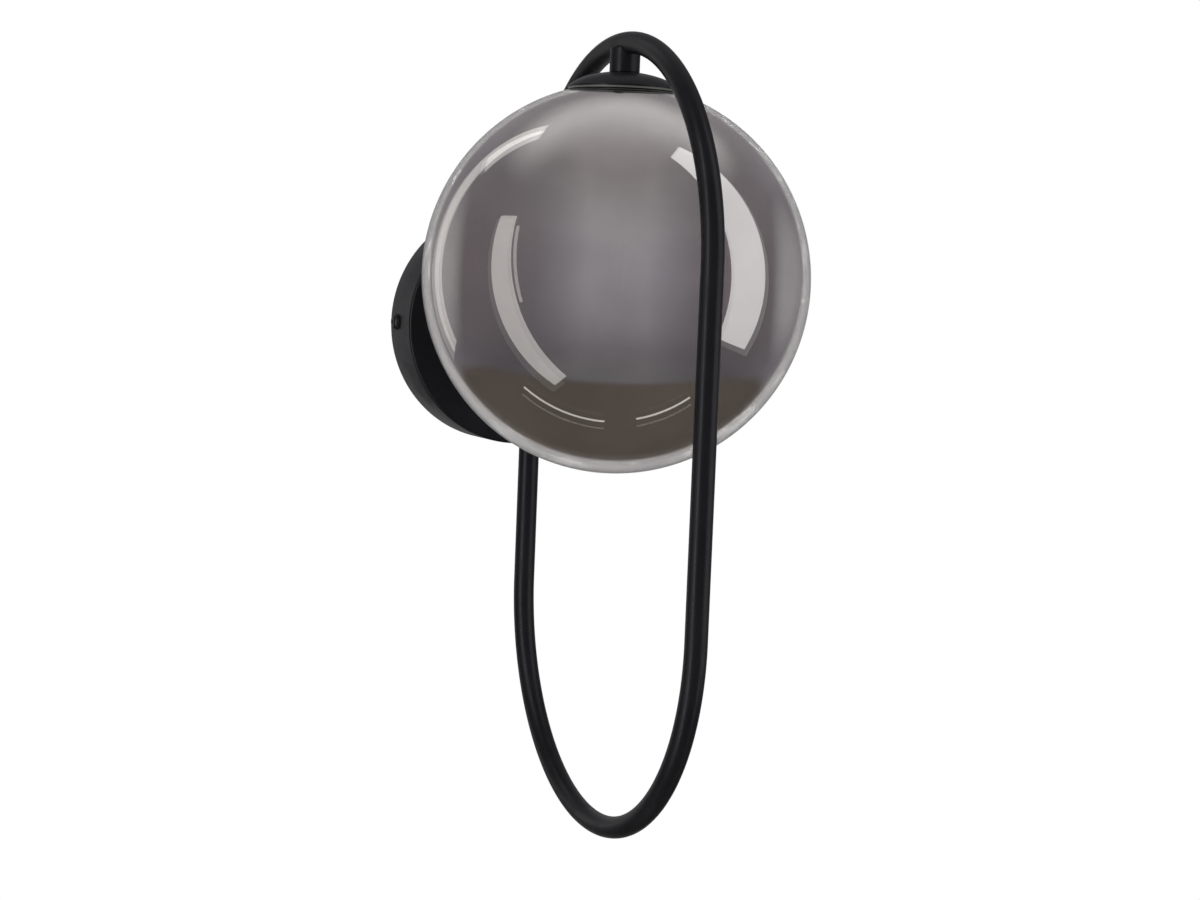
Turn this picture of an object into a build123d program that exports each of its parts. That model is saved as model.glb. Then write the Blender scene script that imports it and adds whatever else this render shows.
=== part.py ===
"""Globe wall sconce.

A round canopy hides the wall bracket. A coped sleeve carries an oblong loop of steel tube out from
it, and a smoked glass globe hangs inside the loop from a second sleeve, a domed cap and a small
screw lamp holder. All lengths are millimetres.

Origin: on the wall, at the centre of the canopy. +Z is up, -Y points out of the wall.
"""

from build123d import *
import math
import os

# Loop of round steel tube
tube_od = 10.2
tube_wall = 1.1
globe_to_loop = 6.9
straight_length = 160.0
wire_hole_d = 6.0

# Canopy, a drawn steel cup that opens towards the wall
canopy_d = 120.0
canopy_depth = 30.0
canopy_wall = 1.2
canopy_edge_r = 1.6
canopy_above_loop_centre = 47.0

# Sleeves that join the tube to the canopy and to the globe's cap
sleeve_d = 14.0
standoff = 12.0
stem_drop = 8.5
saddle_lap = 2.6

# Hollow threaded nipples, their nut and lock washer
nipple_d = 10.0
nipple_bore_d = 6.6
thread_gap = 0.05
nipple_end_gap = 1.0
nipple_chamfer = 0.5
nut_width = 14.0
nut_height = 3.0
nut_bevel_d = 15.7
nut_chamfer = 0.6
lock_washer_d = 17.0
lock_washer_thickness = 0.8
lock_washer_teeth = 12
lock_notch_width = 1.5
lock_notch_depth = 0.8
bushing_lip = 1.0
bushing_length = 4.0
bushing_wall = 0.6

# Wall bracket, a bent steel strap
strap_thickness = 1.5
strap_width = 20.0
ear_width = 16.0
ear_gap = 1.2
ear_height = 16.0
strap_bend_r = 2.5
strap_end_margin = 8.0
slot_spacing = 70.0
slot_length = 20.0
slot_width = 5.2
cable_hole_d = 14.0
hub_d = 28.0
tab_width = 22.0
tab_drop = 42.0
tab_corner_r = 3.0

# Screws at the canopy's sides, M4 with a domed head
side_screw_d = 4.0
side_screw_length = 8.0
side_screw_from_wall = 10.0
side_screw_head_d = 8.0
side_screw_head_height = 2.6
side_screw_gap = 0.05
side_screw_hole_d = 4.6
collar_d = 7.0
collar_length = 2.0

# Every domed screw: shares of its head's size, then of its shank's
cross_width_share = 0.125
cross_length_share = 0.55
cross_depth_share = 0.58
head_round_share = 0.8
shank_chamfer_share = 0.1

# Earth lug bent out of the bracket, its screw, the ring terminals and the earth wire
earth_lug_x = 18.0
earth_lug_width = 10.0
earth_lug_depth = 11.0
earth_screw_d = 4.0
earth_screw_gap = 0.05
earth_screw_length = 6.0
earth_head_d = 7.6
earth_head_height = 2.4
ring_terminal_d = 8.4
ring_terminal_thickness = 0.8
ring_terminal_tail = 6.0
crimp_d = 3.2
crimp_length = 4.0
earth_wire_from_ear = 13.6
earth_wire_bend_r = 8.0

# Terminal block
block_width = 31.0
block_height = 17.0
block_depth = 13.5
block_corner_r = 1.5
block_groove_width = 1.2
block_groove_depth = 1.5
block_poles = 3
pole_pitch = 10.0
block_centre_drop = 31.0
pole_tube_d = 4.8
pole_bore_d = 3.0
pole_length = 13.0
pole_depth = 6.0
well_d = 4.2
clamp_screw_d = 3.0
clamp_screw_length = 5.0
clamp_screw_spread = 8.0
clamp_slot_width = 0.6
clamp_slot_depth = 0.8
block_screw_d = 3.0
block_screw_spread = 10.0
block_screw_head_d = 4.6
block_screw_head_height = 1.6
block_screw_recess = 2.5
block_screw_clearance = 0.2

# Insulated wires
wire_d = 2.0
earth_wire_d = 1.8
wire_spacing = 2.6
wire_bend_r = 5.0
wire_canopy_bend_r = 4.0
wire_fork_bend_r = 3.0
wire_lug_bend_r = 1.6
wire_rise_below_nipple = 4.0
wire_mouth_gap = 8.0
wire_above_lug = 2.2
wire_fork_drop = 1.0

# Domed cap over the globe's neck: a flat land, a crown, a rounder shoulder and an upright rim
cap_d = 52.0
cap_thickness = 1.0
cap_gap = 1.1
cap_land_d = 16.0
cap_crown_r = 60.0
cap_shoulder_d = 34.0
cap_shoulder_r = 24.0
cap_rim_height = 0.7
cap_edge_r = 0.25

# Blown glass globe, thicker towards the bottom
globe_d = 180.0
glass_wall = 3.8
glass_bubble_rise = 1.4
neck_d = 32.0
neck_edge_r = 0.7

# Gaskets above and below the glass
gasket_inset = 0.3
gasket_width = 4.0
gasket_clearance = 0.3
washer_id = 33.0
washer_od = 41.0
washer_edge = 1.3

# Shade ring that screws up the lamp holder and carries the globe
ring_flange_d = 42.0
ring_flange_thickness = 2.2
ring_hub_d = 33.6
ring_height = 8.0
ring_gap = 0.06
ring_notches = 24
ring_notch_d = 2.0
ring_notch_depth = 0.6
ring_flange_chamfer = 0.4
ring_hub_chamfer = 0.5

# Lamp holder for a small screw lamp
holder_d = 28.0
holder_thread_depth = 0.7
holder_thread_length = 16.0
holder_wall = 1.6
holder_length = 50.0
holder_shoulder = 4.2
holder_roof = 6.0
holder_cavity = 11.0
spigot_wall = 1.5
skirt_chamfer = 0.5
cover_crown_drop = 2.2
cover_crown_inset = 0.6
cover_side_drop = 2.8
cover_side_inset = 0.2
cover_cone = 2.0
core_height = 11.0
core_chamfer = 0.8
core_key_width = 3.0
core_key_depth = 1.2
lug_height = 4.2
lug_size = 4.6
lug_offset = 5.0
lug_corner_r = 0.8
lug_wire_depth = 3.0
lug_screw_d = 2.0
lug_screw_head_d = 3.4
lug_screw_head_height = 1.2
rivet_d = 1.6
rivet_head_d = 2.8
rivet_head_height = 0.6
rivet_reach = 0.8
shell_bore_d = 14.3
shell_thickness = 0.4
shell_length = 18.0
shell_lip = 1.2
contact_reach = 4.0
contact_thickness = 0.5
contact_width = 4.0
contact_curl_out = 0.6
contact_curl_up = 0.9

# Lamp
lamp_ball_d = 45.0
lamp_length = 78.0
lamp_gap = 0.3
lamp_thread_d = 13.9
lamp_cap_length = 21.0
lamp_cap_chamfer = 1.0
lamp_cap_flare = 2.0
lamp_cap_rim = 1.0
lamp_tip_d = 5.0
lamp_tip_height = 1.6
lamp_tip_round_share = 0.6
lamp_insulator_height = 3.0
lamp_neck_d = 17.0
lamp_shoulder_r = 14.0
lamp_glass = 0.8
filament_count = 4
filament_d = 1.6
filament_length = 24.0
filament_circle_d = 15.0
filament_stem_d = 4.0
filament_stem_rise = 4.0
filament_round_share = 0.4
stem_flare_height = 6.0
stem_flare_gap = 1.0

# Places worked out from the sizes above
tube_r = tube_od / 2
bend_r = globe_d / 2 + globe_to_loop + tube_r
rear_y = -(canopy_depth + standoff + tube_r)
lamp_y = rear_y - bend_r
front_y = lamp_y - bend_r
top_arc_z = straight_length / 2 - canopy_above_loop_centre
bottom_arc_z = top_arc_z - straight_length
tube_underside_z = top_arc_z + bend_r - tube_r
land_z = tube_underside_z - stem_drop
globe_r = globe_d / 2
cap_r = cap_d / 2
cap_lean = math.asin(cap_shoulder_d / 2 / cap_crown_r)
cap_crown_z = land_z - math.sqrt(cap_crown_r**2 - (cap_land_d / 2) ** 2)
cap_shoulder_x = (cap_crown_r - cap_shoulder_r) * math.sin(cap_lean)
cap_shoulder_z = cap_crown_z + (cap_crown_r - cap_shoulder_r) * math.cos(cap_lean)
cap_brow_z = cap_shoulder_z + math.sqrt(cap_shoulder_r**2 - (cap_r - cap_shoulder_x) ** 2)
gasket_top_r = globe_r + cap_gap
globe_z = cap_brow_z - cap_rim_height - math.sqrt(gasket_top_r**2 - cap_r**2)
bubble_r = globe_r - glass_wall
bubble_z = globe_z + glass_bubble_rise
holder_top_z = land_z - cap_thickness
skirt_top_z = holder_top_z - holder_shoulder
skirt_bottom_z = skirt_top_z - holder_length
skirt_bore_r = holder_d / 2 - holder_wall
core_top_z = holder_top_z - holder_roof - holder_cavity
core_bottom_z = core_top_z - core_height
lamp_tip_z = core_bottom_z - contact_reach - lamp_gap
lamp_ball_z = lamp_tip_z - lamp_length + lamp_ball_d / 2
washer_bottom_z = bubble_z + math.sqrt(bubble_r**2 - (washer_od / 2) ** 2) - washer_edge
ring_top_z = washer_bottom_z - gasket_clearance
canopy_bore_r = canopy_d / 2 - canopy_wall
ear_x = canopy_bore_r - ear_gap
earth_screw_y = -(earth_lug_depth - earth_lug_width / 2)
block_z = -block_centre_drop
block_screw_seat_y = -(strap_thickness + block_depth - block_screw_recess)
thread_bore_r = nipple_d / 2 + thread_gap
nut_y = -(canopy_depth - canopy_wall - lock_washer_thickness - ring_terminal_thickness)

# Local +Z turned to point out of the wall, and the upright axis that the globe hangs on
OUT_OF_WALL = Rot(90, 0, 0)
LAMP_AXIS = Pos(0, lamp_y, 0)
UPRIGHT = (Align.CENTER, Align.CENTER, Align.MIN)
HANGING = (Align.CENTER, Align.CENTER, Align.MAX)


def turned(outline):
    """A solid turned about Z from a closed outline of (radius, height) points."""
    return revolve(make_face(Plane.XZ * Polyline(*outline, close=True)), Axis.Z)


def turned_from(edges):
    """A solid turned about Z from the closed edges of an outline drawn in (radius, height)."""
    return revolve(make_face(Plane.XZ * Curve(children=edges)), Axis.Z)


def pipe(outer_d, inner_d, bottom, top):
    """A round pipe about Z between two heights."""
    length = top - bottom
    wall = Cylinder(outer_d / 2, length, align=UPRIGHT) - Cylinder(inner_d / 2, length, align=UPRIGHT)
    return Pos(0, 0, bottom) * wall


def swept(path, diameter):
    """A round rod along a path of lines and tangent arcs."""
    return sweep(Plane(path ^ 0) * Circle(diameter / 2), path=path)


def screw(shank_d, length, head_d, head_height):
    """A domed screw along Z: its head rests on Z = 0 and its shank runs down from there."""
    shank = Pos(0, 0, -length) * Cylinder(shank_d / 2, length, align=UPRIGHT)
    shank = chamfer(shank.edges().group_by(Axis.Z)[0], shank_d * shank_chamfer_share)
    head = Cylinder(head_d / 2, head_height, align=UPRIGHT)
    head = fillet(head.edges().group_by(Axis.Z)[-1], head_height * head_round_share)
    long_side = head_d * cross_length_share
    short_side = head_d * cross_width_share
    depth = head_height * cross_depth_share
    recess = Box(long_side, short_side, depth) + Box(short_side, long_side, depth)
    return head + shank - Pos(0, 0, head_height - depth / 2) * recess


# Loop


def loop_rod(radius):
    """The loop's run as a solid rod: two straight legs and two half-round bends."""
    section = Plane((0, lamp_y + bend_r, top_arc_z)) * Circle(radius)
    rod = revolve(section, Axis((0, lamp_y, top_arc_z), (1, 0, 0)), 180)
    section = Plane((0, lamp_y + bend_r, bottom_arc_z)) * Circle(radius)
    rod += revolve(section, Axis((0, lamp_y, bottom_arc_z), (-1, 0, 0)), 180)
    for leg_y in (rear_y, front_y):
        rod += Pos(0, leg_y, bottom_arc_z) * Cylinder(radius, straight_length, align=UPRIGHT)
    return rod


def loop_tube():
    """Bent tube with a hole at the canopy and one at the stem for the wires."""
    hole = Cylinder(wire_hole_d / 2, tube_od, align=UPRIGHT)
    rear_hole = Pos(0, rear_y + tube_od, 0) * OUT_OF_WALL * hole
    stem_hole = Pos(0, lamp_y, tube_underside_z + tube_r - tube_od) * hole
    return loop_rod(tube_r) - loop_rod(tube_r - tube_wall) - rear_hole - stem_hole


def standoff_sleeve():
    """Sleeve from the canopy to the rear leg, its far end coped to the tube."""
    length = standoff + saddle_lap
    sleeve = pipe(sleeve_d, thread_bore_r * 2, 0, length)
    return Pos(0, -canopy_depth, 0) * OUT_OF_WALL * sleeve - loop_rod(tube_r)


def stem_sleeve():
    """Sleeve from the top of the loop down to the cap, its upper end coped to the tube."""
    sleeve = pipe(sleeve_d, thread_bore_r * 2, land_z, tube_underside_z + saddle_lap)
    return LAMP_AXIS * sleeve - loop_rod(tube_r)


# Canopy and what clamps it


def canopy():
    """Drawn cup with a rounded front edge, a centre hole and a screw hole at each side."""
    cup = Cylinder(canopy_d / 2, canopy_depth, align=UPRIGHT)
    cup = fillet(cup.edges().group_by(Axis.Z)[-1], canopy_edge_r)
    cup = offset(cup, -canopy_wall, openings=cup.faces().sort_by(Axis.Z)[0])
    cup -= Cylinder(thread_bore_r, 2 * canopy_depth, align=UPRIGHT)
    side_hole = Rot(0, 90, 0) * Cylinder(side_screw_hole_d / 2, 2 * canopy_d)
    return OUT_OF_WALL * (cup - Pos(0, 0, side_screw_from_wall) * side_hole)


def nipple(bottom, top):
    """Hollow threaded rod between two heights, chamfered at both ends."""
    rod = pipe(nipple_d, nipple_bore_d, bottom, top)
    middle_r = (nipple_d + nipple_bore_d) / 4
    ends = rod.edges().filter_by(GeomType.CIRCLE).filter_by(lambda e: e.radius > middle_r)
    return chamfer(ends, nipple_chamfer)


def canopy_nipple():
    """Nipple from inside the canopy into the standoff sleeve."""
    inner_end = -nut_y - nut_height - nipple_end_gap
    outer_end = canopy_depth + standoff - nipple_end_gap
    return OUT_OF_WALL * nipple(inner_end, outer_end)


def canopy_nut():
    """Hexagon nut that pulls the sleeve against the canopy."""
    hexagon = extrude(RegularPolygon(nut_width / 2, 6, major_radius=False), nut_height)
    bevel = Cylinder(nut_bevel_d / 2, nut_height, align=UPRIGHT)
    bevel = chamfer(bevel.edges().filter_by(GeomType.CIRCLE), nut_chamfer)
    hexagon = (hexagon & bevel) - Cylinder(thread_bore_r, nut_height, align=UPRIGHT)
    return Pos(0, nut_y + nut_height, 0) * OUT_OF_WALL * hexagon


def canopy_lock_washer():
    """Toothed washer between the canopy and the earth ring terminal."""
    washer = pipe(lock_washer_d, thread_bore_r * 2, 0, lock_washer_thickness)
    notch = Box(2 * lock_notch_depth, lock_notch_width, 2 * lock_washer_thickness)
    for place in PolarLocations(lock_washer_d / 2, lock_washer_teeth):
        washer -= place * notch
    return Pos(0, nut_y - ring_terminal_thickness, 0) * OUT_OF_WALL * washer


def nipple_bushings():
    """Plastic bushings that keep the wires off the nipples' sharp inner ends."""
    bore_r = nipple_bore_d / 2
    lip_r = nipple_d / 2
    outline = [
        (bore_r - bushing_wall, bushing_length),
        (bore_r, bushing_length),
        (bore_r, 0),
        (lip_r, 0),
        (lip_r, -bushing_lip),
        (bore_r - bushing_wall, -bushing_lip),
    ]
    bushing = turned(outline)
    in_canopy = Pos(0, nut_y + nut_height + nipple_end_gap, 0) * OUT_OF_WALL * bushing
    in_holder = LAMP_AXIS * Pos(0, 0, holder_top_z - holder_roof) * bushing
    return [in_canopy, in_holder]


# Wall bracket and wiring inside the canopy


def wall_bracket():
    """Strap with two forward ears, slots for the wall screws and a tab for the terminal block."""
    outer = Pos(0, -ear_height) * Rectangle(2 * ear_x, 2 * ear_height)
    outer = fillet(outer.vertices().group_by(Axis.Y)[-1], strap_bend_r)
    inner = offset(outer, -strap_thickness)
    strip = outer - inner - Pos(0, -1.5 * ear_height) * Rectangle(3 * ear_x, ear_height)
    strap = extrude(strip, ear_width / 2, both=True)
    flat = Rectangle(2 * (ear_x - strap_end_margin), strap_width) + Circle(hub_d / 2)
    flat += Pos(0, -tab_drop / 2) * Rectangle(tab_width, tab_drop)
    flat = fillet(flat.vertices().group_by(Axis.Y)[0], tab_corner_r)
    strap += OUT_OF_WALL * extrude(flat, strap_thickness)
    collar = Rot(0, 90, 0) * Cylinder(collar_d / 2, 2 * (ear_x - strap_thickness))
    gap = 2 * (ear_x - strap_thickness - collar_length)
    collars = collar - Rot(0, 90, 0) * Cylinder(collar_d / 2, gap)
    strap += Pos(0, -side_screw_from_wall, 0) * collars
    tapped = Rot(0, 90, 0) * Cylinder(side_screw_d / 2, 3 * ear_x)
    strap -= Pos(0, -side_screw_from_wall, 0) * tapped
    lug = Pos(0, earth_screw_y / 2) * Rectangle(earth_lug_width, -earth_screw_y)
    lug += Pos(0, earth_screw_y) * Circle(earth_lug_width / 2)
    lug -= Pos(0, earth_screw_y) * Circle(earth_screw_d / 2)
    strap += Pos(earth_lug_x, 0, strap_width / 2 - strap_thickness) * extrude(lug, strap_thickness)
    holes = Circle(cable_hole_d / 2)
    for side in (-1, 1):
        holes += Pos(side * slot_spacing / 2, 0) * SlotOverall(slot_length, slot_width)
        holes += Pos(side * block_screw_spread / 2, block_z) * Circle(block_screw_d / 2)
    return strap - OUT_OF_WALL * extrude(holes, 2 * strap_thickness)


def terminal_block():
    """Three-pole housing with a wire channel and two screw wells for each pole."""
    block = Box(block_width, block_depth, block_height)
    block = fillet(block.edges().filter_by(Axis.Z).group_by(Axis.Y)[0], block_corner_r)
    block = Pos(0, -strap_thickness - block_depth / 2, block_z) * block
    channel_y = -strap_thickness - pole_depth
    for x in pole_places():
        block -= Pos(x, channel_y, block_z) * Cylinder(pole_tube_d / 2, block_height)
        for z in well_heights():
            well = Cylinder(well_d / 2, block_depth, align=UPRIGHT)
            block -= Pos(x, channel_y, z) * OUT_OF_WALL * well
    for side in (-1, 1):
        groove = Pos(side * pole_pitch / 2, -strap_thickness - block_depth, block_z)
        block -= groove * Box(block_groove_width, 2 * block_groove_depth, 2 * block_height)
        hole = Cylinder(block_screw_d / 2 + block_screw_clearance, 3 * block_depth)
        hole += Cylinder(block_screw_head_d / 2 + block_screw_clearance, block_depth, align=UPRIGHT)
        place = Pos(side * block_screw_spread / 2, block_screw_seat_y, block_z)
        block -= place * OUT_OF_WALL * hole
    return block


def pole_places():
    """Where the poles stand across the block."""
    return [(n - (block_poles - 1) / 2) * pole_pitch for n in range(block_poles)]


def well_heights():
    """Heights of the two clamp screws of a pole."""
    return [block_z + side * clamp_screw_spread / 2 for side in (-1, 1)]


def terminal_clamps():
    """Brass tubes that clamp the wire ends, one for each pole."""
    channel_y = -strap_thickness - pole_depth
    tube = pipe(pole_tube_d, pole_bore_d, -pole_length / 2, pole_length / 2)
    for z in (-clamp_screw_spread / 2, clamp_screw_spread / 2):
        tapped = Cylinder(clamp_screw_d / 2, pole_tube_d, align=UPRIGHT)
        tube -= Pos(0, 0, z) * OUT_OF_WALL * tapped
    return [Pos(x, channel_y, block_z) * tube for x in pole_places()]


def terminal_clamp_screws():
    """Six slotted grub screws in the wells of the terminal block."""
    grub = Cylinder(clamp_screw_d / 2, clamp_screw_length, align=UPRIGHT)
    slot = Box(2 * clamp_screw_d, clamp_slot_width, 2 * clamp_slot_depth)
    grub -= Pos(0, 0, clamp_screw_length) * slot
    start_y = -strap_thickness - pole_depth - wire_d / 2
    places = [(x, z) for x in pole_places() for z in well_heights()]
    return [Pos(x, start_y, z) * OUT_OF_WALL * grub for x, z in places]


def terminal_block_screws():
    """Two small screws that hold the block to the bracket's tab."""
    fixing = screw(block_screw_d, -block_screw_seat_y, block_screw_head_d, block_screw_head_height)
    places = [Pos(side * block_screw_spread / 2, block_screw_seat_y, block_z) for side in (-1, 1)]
    return [place * OUT_OF_WALL * fixing for place in places]


def earth_screw():
    """Earth screw in the bracket's lug, through its ring terminal."""
    shank_d = earth_screw_d - 2 * earth_screw_gap
    fixing = screw(shank_d, earth_screw_length, earth_head_d, earth_head_height)
    return Pos(earth_lug_x, earth_screw_y, strap_width / 2 + ring_terminal_thickness) * fixing


def ring_terminal(hole_d, outer_d):
    """Flat crimp terminal lying on Z = 0, with its tail towards local +X."""
    plate = Circle(outer_d / 2) + Pos(outer_d / 2, 0) * Rectangle(ring_terminal_tail, crimp_d)
    tag = extrude(plate - Circle(hole_d / 2), ring_terminal_thickness)
    crimp = Rot(0, 90, 0) * pipe(crimp_d, earth_wire_d, 0, crimp_length)
    return tag + Pos(outer_d / 2 + ring_terminal_tail / 2, 0, crimp_d / 2) * crimp


def earth_ring_terminals():
    """Ring terminals under the earth screw and under the canopy's nut."""
    lug_top = Pos(earth_lug_x, earth_screw_y, strap_width / 2)
    on_bracket = lug_top * ring_terminal(earth_screw_d, ring_terminal_d)
    on_canopy = Rot(-90, 0, 0) * ring_terminal(2 * thread_bore_r, nut_width)
    return [on_bracket, Pos(0, nut_y - ring_terminal_thickness, 0) * on_canopy]


# Wires


def wire_path(side):
    """Centre line of one wire, from the terminal block through the loop to the lamp holder."""
    x = side * wire_spacing / 2
    channel_y = -strap_thickness - pole_depth
    start = (side * pole_pitch, channel_y, block_z)
    rise = (side * pole_pitch, channel_y, -wire_rise_below_nipple)
    mouth = (x, channel_y - wire_mouth_gap, 0)
    corner = (x, rear_y, 0)
    leg_top = (x, rear_y, top_arc_z)
    radii = [wire_canopy_bend_r, wire_canopy_bend_r, wire_bend_r]
    lower = FilletPolyline(start, rise, mouth, corner, leg_top, radius=radii)
    small_r = wire_bend_r
    reach = bend_r - small_r
    lean = math.asin(small_r / reach)
    bend_z = top_arc_z + reach * math.cos(lean)
    swing = math.pi / 2 - lean
    half = swing / 2
    middle = (x, lamp_y + bend_r * math.cos(half), top_arc_z + bend_r * math.sin(half))
    arc_end = (x, lamp_y + bend_r * math.cos(swing), top_arc_z + bend_r * math.sin(swing))
    over = ThreePointArc(leg_top, middle, arc_end)
    turn = (math.pi - swing) / 2
    turn_middle = (
        x,
        lamp_y + small_r - small_r * math.cos(turn),
        bend_z + small_r * math.sin(turn),
    )
    down = ThreePointArc(arc_end, turn_middle, (x, lamp_y, bend_z))
    fork_z = holder_top_z - holder_roof - bushing_lip - wire_fork_drop
    lug_top = core_top_z + lug_height
    ends = FilletPolyline(
        (x, lamp_y, bend_z),
        (x, lamp_y, fork_z),
        (side * lug_offset, lamp_y, lug_top + wire_above_lug),
        (side * lug_offset, lamp_y, lug_top - lug_wire_depth),
        radius=[wire_fork_bend_r, wire_lug_bend_r],
    )
    return Wire(lower.edges() + over.edges() + down.edges() + ends.edges())


def earth_wire():
    """Earth wire from the bracket's ring terminal, in a slack bow, to the one on the canopy's nut."""
    high_z = strap_width / 2 + crimp_d / 2
    out_y = nut_y - ring_terminal_thickness + crimp_d / 2
    start_x = earth_lug_x + (ring_terminal_d + ring_terminal_tail) / 2
    end_x = (nut_width + ring_terminal_tail) / 2
    far_x = ear_x - earth_wire_from_ear
    points = [
        (start_x, earth_screw_y, high_z),
        (far_x - earth_wire_bend_r, earth_screw_y, high_z),
        (far_x, (earth_screw_y + out_y) / 2, high_z / 2),
        (far_x - earth_wire_bend_r, out_y, 0),
        (end_x, out_y, 0),
    ]
    return swept(FilletPolyline(*points, radius=earth_wire_bend_r), earth_wire_d)


# Cap, glass and gaskets


def cap_form(shrink):
    """Solid form of the cap down to the globe's centre, drawn in by shrink all over."""
    crown_r = cap_crown_r - shrink
    shoulder_r = cap_shoulder_r - shrink
    side_r = cap_r - shrink
    land_angle = math.degrees(math.asin((land_z - shrink - cap_crown_z) / crown_r))
    joint_angle = 90 - math.degrees(cap_lean)
    brow_angle = math.degrees(math.acos((side_r - cap_shoulder_x) / shoulder_r))
    crown = CenterArc((0, cap_crown_z), crown_r, land_angle, joint_angle - land_angle)
    shoulder_centre = (cap_shoulder_x, cap_shoulder_z)
    shoulder = CenterArc(shoulder_centre, shoulder_r, joint_angle, brow_angle - joint_angle)
    rest = Polyline(shoulder @ 1, (side_r, globe_z), (0, globe_z), (0, land_z - shrink), crown @ 0)
    return turned_from([crown, shoulder, *rest.edges()])


def dome_cap():
    """Spun cap whose rim seats on the gasket, with a flat land for the sleeve."""
    cap = cap_form(0) - cap_form(cap_thickness)
    cap -= Pos(0, 0, globe_z) * Sphere(gasket_top_r)
    cap -= Pos(0, 0, globe_z) * Cylinder(thread_bore_r, globe_d, align=UPRIGHT)
    rim = cap.edges().filter_by(GeomType.CIRCLE).filter_by(lambda e: e.radius > cap_r - cap_edge_r)
    return LAMP_AXIS * fillet(rim, cap_edge_r)


def dome_arc(sphere_r, from_r, to_r):
    """Arc over a sphere about the origin, from one distance from Z to another."""
    spots = (from_r, (from_r + to_r) / 2, to_r)
    return ThreePointArc(*[(r, math.sqrt(sphere_r**2 - r**2)) for r in spots])


def cap_gasket():
    """Silicone ring between the cap's rim and the glass."""
    outside = cap_r - gasket_inset
    inside = outside - gasket_width
    outer = dome_arc(gasket_top_r, inside, outside)
    inner = dome_arc(globe_r + gasket_clearance, outside, inside)
    edges = [outer, Line(outer @ 1, inner @ 0), inner, Line(inner @ 1, outer @ 0)]
    return LAMP_AXIS * Pos(0, 0, globe_z) * turned_from(edges)


def glass_globe():
    """Blown globe with a ground neck hole; the bubble sits high, so the bottom is thicker."""
    glass = Sphere(globe_r) - Pos(0, 0, glass_bubble_rise) * Sphere(bubble_r)
    glass -= Cylinder(neck_d / 2, globe_d, align=UPRIGHT)
    neck = glass.edges().filter_by(GeomType.CIRCLE).filter_by(lambda e: e.radius < neck_d)
    return LAMP_AXIS * Pos(0, 0, globe_z) * fillet(neck, neck_edge_r)


def glass_washer():
    """Soft washer under the glass, flat below and following the glass above."""
    ring = pipe(washer_od, washer_id, washer_bottom_z, land_z)
    return LAMP_AXIS * (ring & Pos(0, 0, bubble_z) * Sphere(bubble_r))


def shade_ring():
    """Threaded ring with a notched flange, screwed up the holder under the glass."""
    bore_r = holder_d / 2 + ring_gap
    hub_r = ring_hub_d / 2
    flange_r = ring_flange_d / 2
    low = ring_top_z - ring_height
    outline = [
        (bore_r, low),
        (hub_r - ring_hub_chamfer, low),
        (hub_r, low + ring_hub_chamfer),
        (hub_r, ring_top_z - ring_flange_thickness),
        (flange_r - ring_flange_chamfer, ring_top_z - ring_flange_thickness),
        (flange_r, ring_top_z - ring_flange_thickness + ring_flange_chamfer),
        (flange_r, ring_top_z - ring_flange_chamfer),
        (flange_r - ring_flange_chamfer, ring_top_z),
        (bore_r, ring_top_z),
    ]
    ring = turned(outline)
    notch = Cylinder(ring_notch_d / 2, 4 * ring_height)
    notch_r = flange_r + ring_notch_d / 2 - ring_notch_depth
    for place in PolarLocations(notch_r, ring_notches):
        ring -= Pos(0, 0, ring_top_z) * place * notch
    return LAMP_AXIS * ring


# Lamp holder


def holder_skirt():
    """Outer sleeve: full size over its threaded length, slimmer below it."""
    outer_r = holder_d / 2
    slim_r = outer_r - holder_thread_depth
    thread_end = skirt_top_z - holder_thread_length
    outline = [
        (skirt_bore_r, skirt_top_z),
        (outer_r, skirt_top_z),
        (outer_r, thread_end),
        (slim_r, thread_end - holder_thread_depth),
        (slim_r, skirt_bottom_z + skirt_chamfer),
        (slim_r - skirt_chamfer, skirt_bottom_z),
        (skirt_bore_r, skirt_bottom_z),
    ]
    return LAMP_AXIS * turned(outline)


def holder_cover():
    """Top of the holder: a threaded roof with a shoulder and a spigot inside the skirt."""
    bore_r = thread_bore_r
    spigot_r = skirt_bore_r - thread_gap
    cavity_r = spigot_r - spigot_wall
    roof_z = holder_top_z - holder_roof
    outline = [
        (bore_r, holder_top_z),
        (cap_land_d / 2, holder_top_z),
        (holder_d / 2 - cover_crown_inset, holder_top_z - cover_crown_drop),
        (holder_d / 2 - cover_side_inset, holder_top_z - cover_side_drop),
        (holder_d / 2 - cover_side_inset, skirt_top_z),
        (spigot_r, skirt_top_z),
        (spigot_r, core_top_z),
        (cavity_r, core_top_z),
        (cavity_r, roof_z - cover_cone),
        (cavity_r - cover_cone, roof_z),
        (bore_r, roof_z),
    ]
    return LAMP_AXIS * turned(outline)


def holder_core():
    """Insulating core that carries the lugs, the centre contact and the screw shell."""
    radius = skirt_bore_r - thread_gap
    core = Cylinder(radius, core_height, align=UPRIGHT)
    core = chamfer(core.edges().group_by(Axis.Z)[0], core_chamfer)
    for side in (-1, 1):
        core -= Pos(side * radius, 0, 0) * Box(2 * core_key_depth, core_key_width, 3 * core_height)
        core -= Pos(side * lug_offset, 0, 0) * Cylinder(rivet_d / 2, 3 * core_height)
    return LAMP_AXIS * Pos(0, 0, core_bottom_z) * core


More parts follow.
